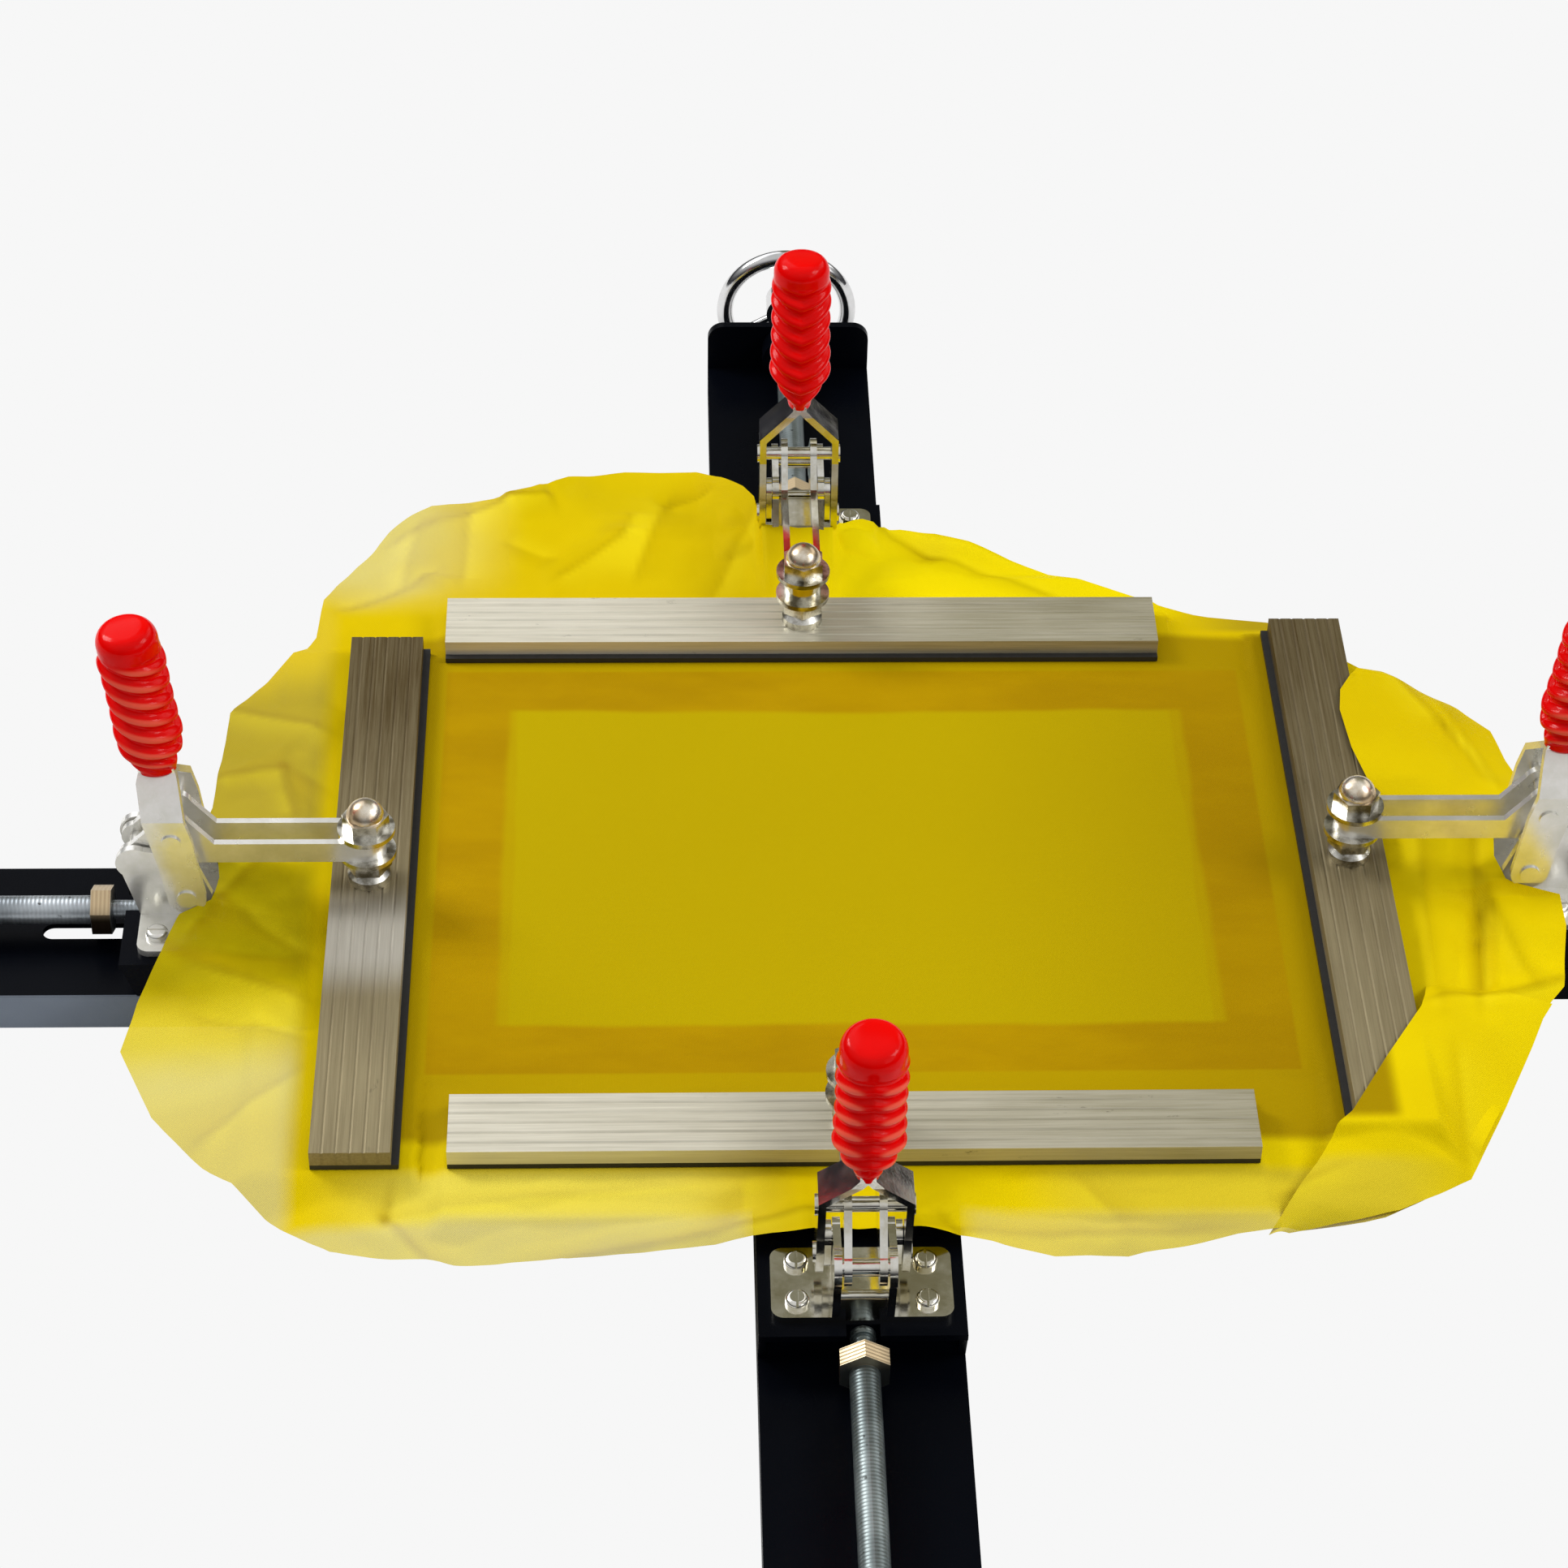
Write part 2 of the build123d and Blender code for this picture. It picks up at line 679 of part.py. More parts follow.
def make_spindle():
    """The threaded spindle with its foot, nuts, washers and domed cap."""
    bar_bottom = saddle_top + clamp_bar_bottom
    bar_top = bar_bottom + clamp_bar_height
    cone_start = jaw_bar_top + spindle_foot_height
    lower_nut = bar_bottom - washer_wall - spindle_nut_height
    upper_nut = bar_top + washer_wall
    cap_start = upper_nut + spindle_nut_height
    foot = [
        (0, 0), (spindle_foot_radius, 0), (spindle_foot_radius, spindle_foot_height),
        (spindle_cone_radius, spindle_foot_height + spindle_cone_height),
        (0, spindle_foot_height + spindle_cone_height),
    ]
    spindle = turned(foot, (0, 0, jaw_bar_top), (0, 0, 1))
    spindle += round_bar(spindle_radius, (0, 0, cone_start), (0, 0, cap_start))
    spindle += hexagon(spindle_nut_flats, (0, 0, lower_nut), spindle_nut_height, (0, 0, 1))
    spindle += hexagon(spindle_nut_flats, (0, 0, upper_nut), spindle_nut_height, (0, 0, 1))
    spindle += round_bar(washer_radius, (0, 0, bar_bottom - washer_wall), (0, 0, bar_bottom))
    spindle += round_bar(washer_radius, (0, 0, bar_top), (0, 0, upper_nut))
    dome = Pos(0, 0, cap_start + acorn_straight - 4.0) * Sphere(acorn_radius)
    clear = washer_radius + acorn_radius
    dome -= block(-clear, clear, -clear, clear, 0, cap_start - 1)
    spindle += dome
    return spindle


def make_screw():
    """The screw: neck with two thrust rings, collar and threaded bar."""
    wall_face = saddle_end_bottom - saddle_wall
    collar_end = collar_start + collar_length
    z = screw_height
    screw = round_bar(neck_radius, (neck_start, 0, z), (collar_start, 0, z))
    ring_ends = (wall_face - thrust_clearance - thrust_ring_wall, saddle_end_bottom + thrust_clearance)
    for start in ring_ends:
        screw += round_bar(thrust_ring_radius, (start, 0, z), (start + thrust_ring_wall, 0, z))
    screw += hexagon(collar_flats, (collar_start, 0, z), collar_length, (1, 0, 0))
    screw_end = wheel_plane + wheel_hub_outer + screw_end_past_hub
    screw += round_bar(screw_radius, (collar_end, 0, z), (screw_end, 0, z))
    return screw


def make_handwheel():
    """The handwheel: hub and spokes, then the rim."""
    z = screw_height
    middle = (wheel_plane, 0, z)
    wheel = round_bar(
        wheel_hub_radius, (wheel_plane - wheel_hub_inner, 0, z), (wheel_plane + wheel_hub_outer, 0, z)
    )
    for number in range(wheel_spokes):
        turn = radians(90 + 360 * number / wheel_spokes)
        tip = (wheel_plane, wheel_spoke_reach * cos(turn), z + wheel_spoke_reach * sin(turn))
        wheel += round_bar(wheel_spoke_radius, middle, tip)
    bore_reach = wheel_hub_inner + wheel_hub_outer
    bore_start = (wheel_plane - bore_reach, 0, z)
    wheel -= round_bar(screw_radius, bore_start, (wheel_plane + bore_reach, 0, z))
    rim = Plane(origin=middle, z_dir=(1, 0, 0)) * Torus(wheel_rim_radius, wheel_rim_section)
    return rim + wheel


arm = make_arm()
foot = make_foot()
handle = make_handle()
single_pieces = {
    "carriage": make_carriage(),
    "lower_jaw": make_lower_jaw(),
    "clamp_base": make_clamp_base(),
    "clamp_arm": make_clamp_arm(),
    "spindle": make_spindle(),
    "jaw_bar": make_jaw_bar(),
    "jaw_rubber": make_rubber(),
    "handle": handle,
    "grip": make_grip(handle),
    "screw": make_screw(),
    "handwheel": make_handwheel(),
}
grouped_pieces = {
    "mounting_hardware": make_mounting_hardware(),
    "link": make_link(),
}

save("centre_plate", make_centre_plate())
save("screen_frame", make_screen_frame())
save("mesh", make_mesh())
save("feet", Compound(children=[placed(foot, name, 0) for name in stations]))
for name, reach in reaches.items():
    save(f"{name}_arm", placed(arm, name, 0))
    for piece, shape in single_pieces.items():
        save(f"{name}_{piece}", placed(shape, name, reach))
    for piece, shapes in grouped_pieces.items():
        group = Compound(children=[placed(shape, name, reach) for shape in shapes])
        save(f"{name}_{piece}", group)
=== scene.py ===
import json
from math import atan2, cos, hypot, pi, radians, sin, sqrt

import bpy
from mathutils import Matrix, Vector, noise


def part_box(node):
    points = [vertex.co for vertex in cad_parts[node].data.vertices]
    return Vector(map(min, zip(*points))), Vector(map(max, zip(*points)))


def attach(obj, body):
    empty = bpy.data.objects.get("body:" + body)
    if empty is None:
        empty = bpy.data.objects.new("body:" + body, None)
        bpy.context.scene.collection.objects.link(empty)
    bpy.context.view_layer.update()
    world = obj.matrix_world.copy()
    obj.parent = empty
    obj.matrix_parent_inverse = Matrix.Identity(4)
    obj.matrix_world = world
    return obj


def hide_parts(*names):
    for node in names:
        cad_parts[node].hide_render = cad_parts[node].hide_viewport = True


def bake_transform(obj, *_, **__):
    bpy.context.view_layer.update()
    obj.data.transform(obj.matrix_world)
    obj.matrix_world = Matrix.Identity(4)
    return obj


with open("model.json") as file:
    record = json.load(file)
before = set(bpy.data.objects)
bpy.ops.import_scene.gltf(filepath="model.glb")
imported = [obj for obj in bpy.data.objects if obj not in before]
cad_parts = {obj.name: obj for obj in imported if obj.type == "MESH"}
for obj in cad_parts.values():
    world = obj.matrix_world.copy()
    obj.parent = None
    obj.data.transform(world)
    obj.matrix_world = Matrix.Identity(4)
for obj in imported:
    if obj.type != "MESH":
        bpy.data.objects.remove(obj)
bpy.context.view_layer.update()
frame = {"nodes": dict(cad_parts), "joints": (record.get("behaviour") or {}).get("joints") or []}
nodes = frame["nodes"]

MM = 0.001
# The way that each station faces in x and y
stations = {"back": (0, 1), "front": (0, -1), "left": (-1, 0), "right": (1, 0)}


def extent(node):
    """The lowest and highest corner of a CAD node in millimetres."""
    return [[round(value / MM, 2) for value in corner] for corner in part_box(node)]


# The screen frame, its opening, and the level of the mesh on it
frame_low, frame_high = extent("screen_frame")
FRAME_MEMBER = 28
MESH_OVER_FRAME = 0.5
FRAME_SIZE = (frame_high[0] - frame_low[0], frame_high[1] - frame_low[1])
FRAME_PLACE = ((frame_high[0] + frame_low[0]) / 2, (frame_high[1] + frame_low[1]) / 2)
STRIP_X = (frame_low[0] + FRAME_MEMBER, frame_high[0] - FRAME_MEMBER)
STRIP_Y = (frame_low[1] + FRAME_MEMBER, frame_high[1] - FRAME_MEMBER)
LEVEL = frame_high[2] + MESH_OVER_FRAME

# The jaws: their outer edges, width, half length, middles, bars and travel
JAW_X = (extent("left_lower_jaw")[0][0], extent("right_lower_jaw")[1][0])
JAW_Y = (extent("front_lower_jaw")[0][1], extent("back_lower_jaw")[1][1])
back_jaw_low, back_jaw_high = extent("back_lower_jaw")
JAW_WIDTH = back_jaw_high[1] - back_jaw_low[1]
JAW_HALF = (back_jaw_high[0] - back_jaw_low[0]) / 2
JAW_MIDDLE = (JAW_X[1] - JAW_WIDTH / 2, JAW_Y[1] - JAW_WIDTH / 2)
JAW_BAR_TOP = extent("right_jaw_bar")[1][2]
JAW_BAR_END = extent("right_jaw_bar")[0][1]
GROOVE_PITCH = 5.5
TRAVEL = round(max(joint["range_m"][1] for joint in frame["joints"] if "_travel" in joint["name"]) / MM, 2)

# The screws with their collars, the spindles with their caps, and the left arm
THREAD_PITCH = 1.75
COLLAR_LENGTH = 8.4
COLLAR_FROM_END = 23
COLLAR_START = (
    extent("right_screw")[0][0] + COLLAR_FROM_END,
    extent("back_screw")[0][1] + COLLAR_FROM_END,
)
CAP_HEIGHT = 7.1
CAP_START = extent("back_spindle")[1][2] - CAP_HEIGHT
ARM_FRONT = extent("left_arm")[0][1]
spindles = {}
for name, way in stations.items():
    low, high = extent(f"{name}_spindle")
    spindles[name] = [JAW_MIDDLE[i] * way[i] if way[i] else (low[i] + high[i]) / 2 for i in (0, 1)]


class Value:
    """A socket of a node tree that can be used in sums."""

    def __init__(self, socket):
        self.socket = socket
        self.tree = socket.id_data

    def node(self, kind, inputs, output=0, **settings):
        """The output of a new node, with its settings and inputs."""
        made = self.tree.nodes.new(kind)
        for name, value in settings.items():
            setattr(made, name, value)
        for name, value in inputs.items():
            if isinstance(value, Value):
                self.tree.links.new(value.socket, made.inputs[name])
            else:
                made.inputs[name].default_value = value
        return Value(made.outputs[output])

    def math(self, operation, *others, clamp=False):
        """The result of a sum with this value first."""
        inputs = dict(enumerate((self, *others)))
        return self.node("ShaderNodeMath", inputs, operation=operation, use_clamp=clamp)

    def __add__(self, other):
        return self.math("ADD", other)

    def __sub__(self, other):
        return self.math("SUBTRACT", other)

    def __rsub__(self, other):
        return self.math("MULTIPLY_ADD", -1.0, other)

    def __mul__(self, other):
        return self.math("MULTIPLY", other)

    def __truediv__(self, other):
        return self.math("DIVIDE", other)

    def __abs__(self):
        return self.math("ABSOLUTE")

    __radd__ = __add__
    __rmul__ = __mul__

    def ramp(self, low, high):
        """0 below low, 1 above high and smooth between."""
        inputs = {"Value": self, "From Min": low, "From Max": high}
        return self.node("ShaderNodeMapRange", inputs, interpolation_type="SMOOTHSTEP")

    def between(self, low, high, soft):
        """1 between low and high, fading over soft on both sides."""
        return self.ramp(low - soft, low + soft) * (1 - self.ramp(high - soft, high + soft))

    def mix(self, first, second):
        """The colour that goes from first to second as this goes from 0 to 1."""
        inputs = {0: self, 6: first, 7: second}
        return self.node("ShaderNodeMix", inputs, output=2, data_type="RGBA")


def surface(name, **fixed):
    """A material with its fixed values, its shader and the place on the object in x, y and z."""
    made = bpy.data.materials.new(name)
    made.use_nodes = True
    tree = made.node_tree
    shader = tree.nodes["Principled BSDF"]
    for key, value in fixed.items():
        shader.inputs[key.replace("_", " ")].default_value = value
    place = Value(tree.nodes.new("ShaderNodeTexCoord").outputs["Object"])
    axes = tree.nodes.new("ShaderNodeSeparateXYZ")
    tree.links.new(place.socket, axes.inputs[0])
    return made, shader, place, [Value(out) for out in axes.outputs]


def feed(shader, **values):
    """Links values to the shader's inputs."""
    for key, value in values.items():
        shader.id_data.links.new(value.socket, shader.inputs[key.replace("_", " ")])


def cloud(place, scale, detail=3.0, rough=0.55, stretch=(1, 1, 1)):
    """Noise from 0 to 1, drawn out along an axis by a stretch."""
    mapped = place.node("ShaderNodeMapping", {"Vector": place, "Scale": stretch})
    inputs = {"Vector": mapped, "Scale": scale, "Detail": detail, "Roughness": rough}
    return place.node("ShaderNodeTexNoise", inputs)


def bump(shader, height, strength, distance):
    """Small relief on the shader's normal."""
    inputs = {"Height": height, "Strength": strength, "Distance": distance}
    feed(shader, Normal=height.node("ShaderNodeBump", inputs))


def rgb(red, green, blue):
    """A colour from its screen values, 0 to 255."""
    def linear(value):
        value = value / 255
        return value / 12.92 if value <= 0.04045 else ((value + 0.055) / 1.055) ** 2.4
    return (linear(red), linear(green), linear(blue), 1.0)


def black_paint():
    """Black paint with a fine grain."""
    made, shader, place, (x, y, z) = surface("black_paint", Specular_IOR_Level=0.045)
    paint_tone = cloud(place, 9.0).mix((0.0006, 0.0008, 0.0016, 1), (0.002, 0.003, 0.006, 1))
    # Painted light: the left arm's long side that faces the front is painted paler, as it catches the light
    arm_front = ARM_FRONT * MM
    arm_top = frame_low[2] * MM
    side = y.between(arm_front - 0.0005, arm_front + 0.0008, 0.0003) * x.ramp(-0.22, -0.26)
    side = side * z.ramp(arm_top + 0.0005, arm_top - 0.0005) * (0.7 + 0.3 * cloud(place, 25.0))
    feed(shader, Base_Color=side.mix(paint_tone, rgb(142, 152, 166)))
    feed(shader, Roughness=0.2 + 0.2 * cloud(place, 60.0))
    bump(shader, cloud(place, 1400.0), 0.12, 0.0004)
    return made


def black_rubber():
    """Dull black rubber."""
    made, shader, place, axes = surface("black_rubber", Roughness=0.6)
    feed(shader, Base_Color=cloud(place, 200.0).mix((0.008, 0.008, 0.008, 1), (0.02, 0.02, 0.02, 1)))
    return made


def brushed(name, along, dark, light, streak, rough, grooves=0.0):
    """Drawn aluminium with fine lines along x or y, darker and lighter in broad patches, and a painted
    reflection that grows paler towards one end.
    """
    made, shader, place, (x, y, z) = surface(name, Metallic=0.45, Specular_IOR_Level=0.3)
    stretch = (0.02, 1.0, 1.0) if along == "x" else (1.0, 0.02, 1.0)
    lines = cloud(place, 900.0, 4.0, 0.7, stretch)
    broad = cloud(place, 16.0, 3.0, 0.6, (0.4, 1.0, 1.0) if along == "x" else (1.0, 0.4, 1.0))
    # Painted reflection: the metal paler towards one end
    reflection_run = x.ramp(0.13, -0.15) if along == "x" else y.ramp(0.14, -0.12)
    tone = (lines * streak + broad * (1 - streak)).ramp(0.3, 0.7) * 0.4 + reflection_run * 0.6
    # Painted shade in the long grooves, stronger in patches, and a few dark marks
    across = abs(y) - JAW_MIDDLE[1] * MM if along == "x" else abs(x) - JAW_MIDDLE[0] * MM
    pitch = GROOVE_PITCH * MM
    from_groove = abs((across / pitch + 20.5).math("FRACT") - 0.5)
    groove = from_groove.ramp(0.17, 0.06) * abs(across).ramp(2.6 * pitch, 2.5 * pitch)
    marks = cloud(place, 150.0, 5.0, 0.7, (0.35, 1.0, 1.0) if along == "x" else (1.0, 0.35, 1.0))
    marks = marks.ramp(0.64, 0.72) * broad.ramp(0.45, 0.6) * 0.6
    painted_light_amount = cloud(place, 60.0, 4.0, 0.7, (0.2, 1.0, 1.0) if along == "x" else (1.0, 0.2, 1.0))
    groove = groove * (0.35 + 0.65 * painted_light_amount.ramp(0.4, 0.6))
    shade = (groove * grooves).math("MAXIMUM", marks)
    metal = tone.mix(dark, light)
    if along == "y":
        # A paler stretch on the left bar, in front of its spindle
        spindle = spindles["left"][1] * MM
        sheen = y.between(spindle - 0.061, spindle - 0.016, 0.014) * x.ramp(0.0, -0.1)
        metal = (sheen * (0.45 + 0.3 * lines)).mix(metal, rgb(214, 212, 204))
    feed(shader, Base_Color=shade.mix(metal, (0.02, 0.017, 0.012, 1)))
    feed(shader, Roughness=rough + 0.22 * cloud(place, 40.0))
    bump(shader, lines, 0.25, 0.0003)
    return made


def plated(name, dark, light, metallic, rough, relief):
    """Plated steel with small cloudy changes of tone."""
    made, shader, place, axes = surface(name, Metallic=metallic)
    feed(shader, Base_Color=cloud(place, 45.0, 5.0, 0.65).ramp(0.3, 0.7).mix(dark, light))
    feed(shader, Roughness=rough + 0.2 * cloud(place, 120.0))
    bump(shader, cloud(place, 700.0), relief, 0.0003)
    return made


def threaded(name, axis, steel, groove):
    """Grey steel with the thread's lines across one axis."""
    made, shader, place, axes = surface(name, Metallic=0.9)
    turn = axes["xyz".index(axis)] * (2 * pi / (THREAD_PITCH * MM))
    thread = turn.math("SINE") * 0.5 + 0.5
    patches = cloud(place, 30.0, 4.0)
    dirt = cloud(place, 220.0, 2.0).ramp(0.66, 0.74)
    tone = patches.ramp(0.35, 0.65).mix(groove, steel)
    tone = (thread * 0.12 + 0.88).mix((0.05, 0.055, 0.06, 1), tone)
    tone = (dirt * 0.8).mix(tone, (0.02, 0.018, 0.015, 1))
    start = COLLAR_START["xy".index(axis)]
    collar = abs(axes["xyz".index(axis)]).between(start * MM, (start + COLLAR_LENGTH) * MM, 0.0003)
    # The collar: painted shade low on its face and painted light on its top
    brown = axes[2].ramp(0.041, 0.048).mix(rgb(58, 46, 34), rgb(212, 190, 152))
    feed(shader, Base_Color=collar.mix(tone, brown))
    feed(shader, Roughness=0.3 + 0.2 * patches)
    bump(shader, thread, 0.25, 0.0003)
    return made


def red_plastic():
    """Glossy red plastic with painted highlights on the crests of its ribs."""
    made, shader, place, axes = surface("red_grip", Specular_IOR_Level=0.1)
    red = cloud(place, 60.0).mix(rgb(226, 2, 2), rgb(246, 6, 4))
    # Painted highlights: paler crests of the ribs
    crest_highlight = place.node("ShaderNodeAttribute", {}, output="Fac", attribute_name="crest_highlight")
    feed(shader, Base_Color=(crest_highlight.ramp(0.1, 0.7) * 0.8).mix(red, rgb(252, 104, 80)))
    feed(shader, Roughness=0.08 + 0.12 * cloud(place, 150.0))
    return made


def yellow_mesh():
    """The woven mesh: darker over the frame's edge, lighter in the window, with painted light and shade on
    the flaps, paler at the front left.
    """
    made, shader, place, (x, y, z) = surface("yellow_mesh", Specular_IOR_Level=0.03)
    left, right = JAW_X[0] * MM, JAW_X[1] * MM
    front, back = JAW_Y[0] * MM, JAW_Y[1] * MM
    arm_front = ARM_FRONT * MM
    spindle = spindles["front"][0] * MM
    inner_x = (FRAME_SIZE[0] / 2 - FRAME_MEMBER) * MM
    inner_y = (FRAME_SIZE[1] / 2 - FRAME_MEMBER) * MM
    across = x - FRAME_PLACE[0] * MM
    along = y - FRAME_PLACE[1] * MM
    wobble = (cloud(place, 14.0, 2.0) - 0.5) * 0.006
    window = abs(across + wobble).ramp(inner_x + 0.002, inner_x - 0.002)
    window = window * abs(along + wobble).ramp(inner_y + 0.002, inner_y - 0.002)
    # A second, fainter edge where glue has crept into the window
    glue = abs(across - wobble).ramp(inner_x - 0.004, inner_x - 0.006)
    window = window * (0.72 + 0.28 * glue)
    outer = abs(across).ramp(inner_x + 0.029, inner_x + 0.027)
    outer = outer * abs(along).ramp(inner_y + 0.029, inner_y + 0.027)
    # Darker and more orange over the frame's edge
    mottled = cloud(place, 26.0, 5.0, 0.6, (0.35, 1.0, 1.0)).ramp(0.3, 0.7)
    frame_band = mottled.mix(rgb(172, 134, 0), rgb(186, 148, 0))
    open_mesh = cloud(place, 5.0, 2.0).mix(rgb(184, 160, 0), rgb(192, 168, 0))
    strip = cloud(place, 12.0, 2.0).mix(rgb(176, 144, 0), rgb(190, 162, 0))
    flap = cloud(place, 9.0, 3.0).ramp(0.3, 0.7).mix(rgb(226, 196, 0), rgb(238, 212, 0))
    # Painted shade: the flaps darker towards the back
    flap = (y.ramp(-0.03, 0.10) * 0.5).mix(flap, rgb(208, 178, 0))
    sunny = y.ramp(back - 0.003, back + 0.005) * x.between(-0.015, 0.145, 0.02)
    flap = (sunny * 0.95).mix(flap, rgb(255, 232, 0))
    # Painted light: the front flap right of its spindle is duller and greyer
    dull_front = y.ramp(front + 0.003, front - 0.005) * x.between(spindle + 0.079, right - 0.004, 0.02)
    flap = (dull_front * 0.5).mix(flap, rgb(206, 188, 60))
    # Painted light: the front flap paler at its left
    lit_front = y.ramp(front + 0.003, front - 0.005) * x.between(-0.20, -0.058, 0.03)
    flap = (lit_front * 0.7).mix(flap, rgb(236, 222, 96))
    # One layer at the left and in front lets some light through, elsewhere the flaps lie double
    left_flap = x.ramp(left - 0.004, left - 0.014)
    left_part = left_flap * (0.1 + 0.9 * y.ramp(arm_front - 0.04, arm_front - 0.07))
    back_part = x.ramp(-0.145, -0.215) * y.ramp(back, back + 0.04)
    front_part = y.ramp(front - 0.021, front - 0.031) * (0.45 + 0.55 * x.ramp(0.02, -0.10))
    front_part = front_part * (1 - x.between(spindle - 0.043, spindle + 0.043, 0.006))
    single = left_part.math("MAXIMUM", front_part).math("MAXIMUM", back_part)
    single = single * (0.75 + 0.25 * cloud(place, 11.0).ramp(0.35, 0.6))
    flap = single.mix(flap, cloud(place, 14.0).mix(rgb(206, 188, 4), rgb(222, 204, 24)))
    # Painted shadow: the left flap darker over the arm, where the clamp arm's shadow falls
    arm_shadow = left_flap * y.between(arm_front - 0.024, arm_front + 0.058, 0.014)
    dark = cloud(place, 20.0).ramp(0.3, 0.7).mix(rgb(158, 142, 2), rgb(188, 172, 8))
    flap = (arm_shadow * 0.85).mix(flap, dark)
    # Painted light: the left flap paler in front of the arm
    lit_left = left_flap * y.between(arm_front - 0.081, arm_front - 0.028, 0.014)
    flap = (lit_left * 0.6).mix(flap, rgb(220, 206, 70))
    shaded_left = left_flap * y.ramp(-0.005, 0.03) * y.ramp(0.15, 0.11)
    flap = (shaded_left * 0.85).mix(flap, cloud(place, 14.0).mix(rgb(146, 128, 6), rgb(182, 162, 34)))
    # Painted light and shade on the two sides of a crease, and painted shade along its thin line
    facet = place.node("ShaderNodeAttribute", {}, output="Fac", attribute_name="facet")
    line = place.node("ShaderNodeAttribute", {}, output="Fac", attribute_name="crease")
    flap = (facet.ramp(0.0, -1.0) * 0.5).mix(flap, rgb(186, 158, 0))
    flap = (facet.ramp(0.0, 1.0) * 0.6).mix(flap, rgb(250, 230, 30))
    flap = (line * 0.9).mix(flap, rgb(158, 128, 0))
    inside = abs(x).ramp(right - 0.012, right - 0.019) * abs(y).ramp(back - 0.012, back - 0.019)
    tone = window.mix(frame_band, open_mesh)
    tone = outer.mix(inside.mix(flap, strip), tone)
    shade_right = x.ramp(0.02, 0.19) * inside
    tone = (shade_right * 0.35).mix(tone, rgb(138, 108, 0))
    # A shaded tip at the back right
    tip = x.ramp(0.15, 0.19) * y.ramp(back - 0.012, back - 0.007) * (1 - inside)
    tone = (tip * 0.6).mix(tone, rgb(150, 126, 30))
    feed(shader, Base_Color=tone)
    feed(shader, Alpha=1.0 - 0.22 * single * (1 - inside))
    weave = 1100.0
    threads = (x * (2 * pi * weave)).math("SINE") * (y * (2 * pi * weave)).math("SINE")
    feed(shader, Roughness=0.5 + 0.14 * cloud(place, 80.0))
    bump(shader, threads + 5.0 * cloud(place, 55.0, 3.0), 0.22, 0.0006)
    return made


paints = {
    "black_paint": black_paint(),
    "black_rubber": black_rubber(),
    "frame_aluminium": brushed("frame_aluminium", "x", rgb(149, 149, 149), rgb(196, 196, 196), 0.5, 0.3),
    "zinc": plated("zinc", (0.62, 0.58, 0.44, 1), (0.97, 0.96, 0.91, 1), 1.0, 0.02, 0.05),
    # A paler, duller copy of the same zinc for the left and right stations: painted light
    "zinc_lit_paler": plated("zinc_lit_paler", (0.78, 0.77, 0.7, 1), (0.97, 0.96, 0.93, 1), 0.7, 0.14, 0.05),
    "wheel_chrome": plated("wheel_chrome", (0.7, 0.7, 0.7, 1), (0.86, 0.86, 0.86, 1), 1.0, 0.03, 0.0),
    "red_grip": red_plastic(),
    "yellow_mesh": yellow_mesh(),
}
# The jaw bars are one aluminium: the back and front ones painted paler and the left and right ones darker,
# for the light they reflect
lit_bar = brushed("bar_lit", "x", rgb(150, 143, 112), rgb(240, 235, 218), 0.55, 0.34, 0.2)
shaded_bar = brushed("bar_shaded", "y", rgb(70, 52, 8), rgb(162, 150, 116), 0.6, 0.38, 0.15)
# One screw steel in two copies, one per thread axis: the left and right screws painted paler, the back and
# front ones darker, for the light they get
steel_x = threaded("screw_steel_x", "x", rgb(214, 222, 228), rgb(150, 158, 164))
steel_y = threaded("screw_steel_y", "y", rgb(148, 158, 158), rgb(108, 118, 118))


def spindle_steel():
    """Bright nuts and washers under a brownish domed cap."""
    made, shader, place, (x, y, z) = surface("spindle_steel", Metallic=1.0)
    bright = cloud(place, 110.0, 4.0).ramp(0.35, 0.65).mix(rgb(112, 106, 90), rgb(236, 234, 226))
    brown = cloud(place, 90.0, 4.0).ramp(0.35, 0.65).mix(rgb(196, 172, 138), rgb(255, 246, 228))
    feed(shader, Base_Color=z.ramp(CAP_START * MM, (CAP_START + 0.4) * MM).mix(bright, brown))
    feed(shader, Roughness=0.2 + 0.16 * cloud(place, 120.0))
    return made


spindle_paint = spindle_steel()


def paint(piece, made):
    """Gives every slot of a piece one material."""
    if not piece.data.materials:
        piece.data.materials.append(made)
    for number in range(len(piece.data.materials)):
        piece.data.materials[number] = made


slot_words = [
    ("jaw_rubber", "black_rubber"), ("feet", "black_rubber"), ("arm", "black_paint"),
    ("centre_plate", "black_paint"), ("carriage", "black_paint"), ("lower_jaw", "black_paint"),
    ("screen_frame", "frame_aluminium"), ("handwheel", "wheel_chrome"), ("grip", "red_grip"),
    ("mesh", "yellow_mesh"),
]
for name, piece in nodes.items():
    # The left and right stations take the zinc copy painted paler for the light
    made = paints["zinc_lit_paler" if name.startswith(("left", "right")) else "zinc"]
    for ending, slot in slot_words:
        if name.endswith(ending) and not name.endswith("clamp_arm"):
            made = paints[slot]
    if name.endswith("jaw_bar"):
        made = lit_bar if name.startswith(("back", "front")) else shaded_bar
    if name.endswith("spindle"):
        made = spindle_paint
    if name.endswith("_screw"):
        made = steel_y if name.startswith(("back", "front")) else steel_x
    paint(piece, made)


def soften(piece, width, segments=2, angle=32):
    """A small round on the sharp edges of a piece."""
    edge = piece.modifiers.new("soft_edges", "BEVEL")
    edge.width = width
    edge.segments = segments
    edge.limit_method = "ANGLE"
    edge.angle_limit = radians(angle)
    edge.harden_normals = True


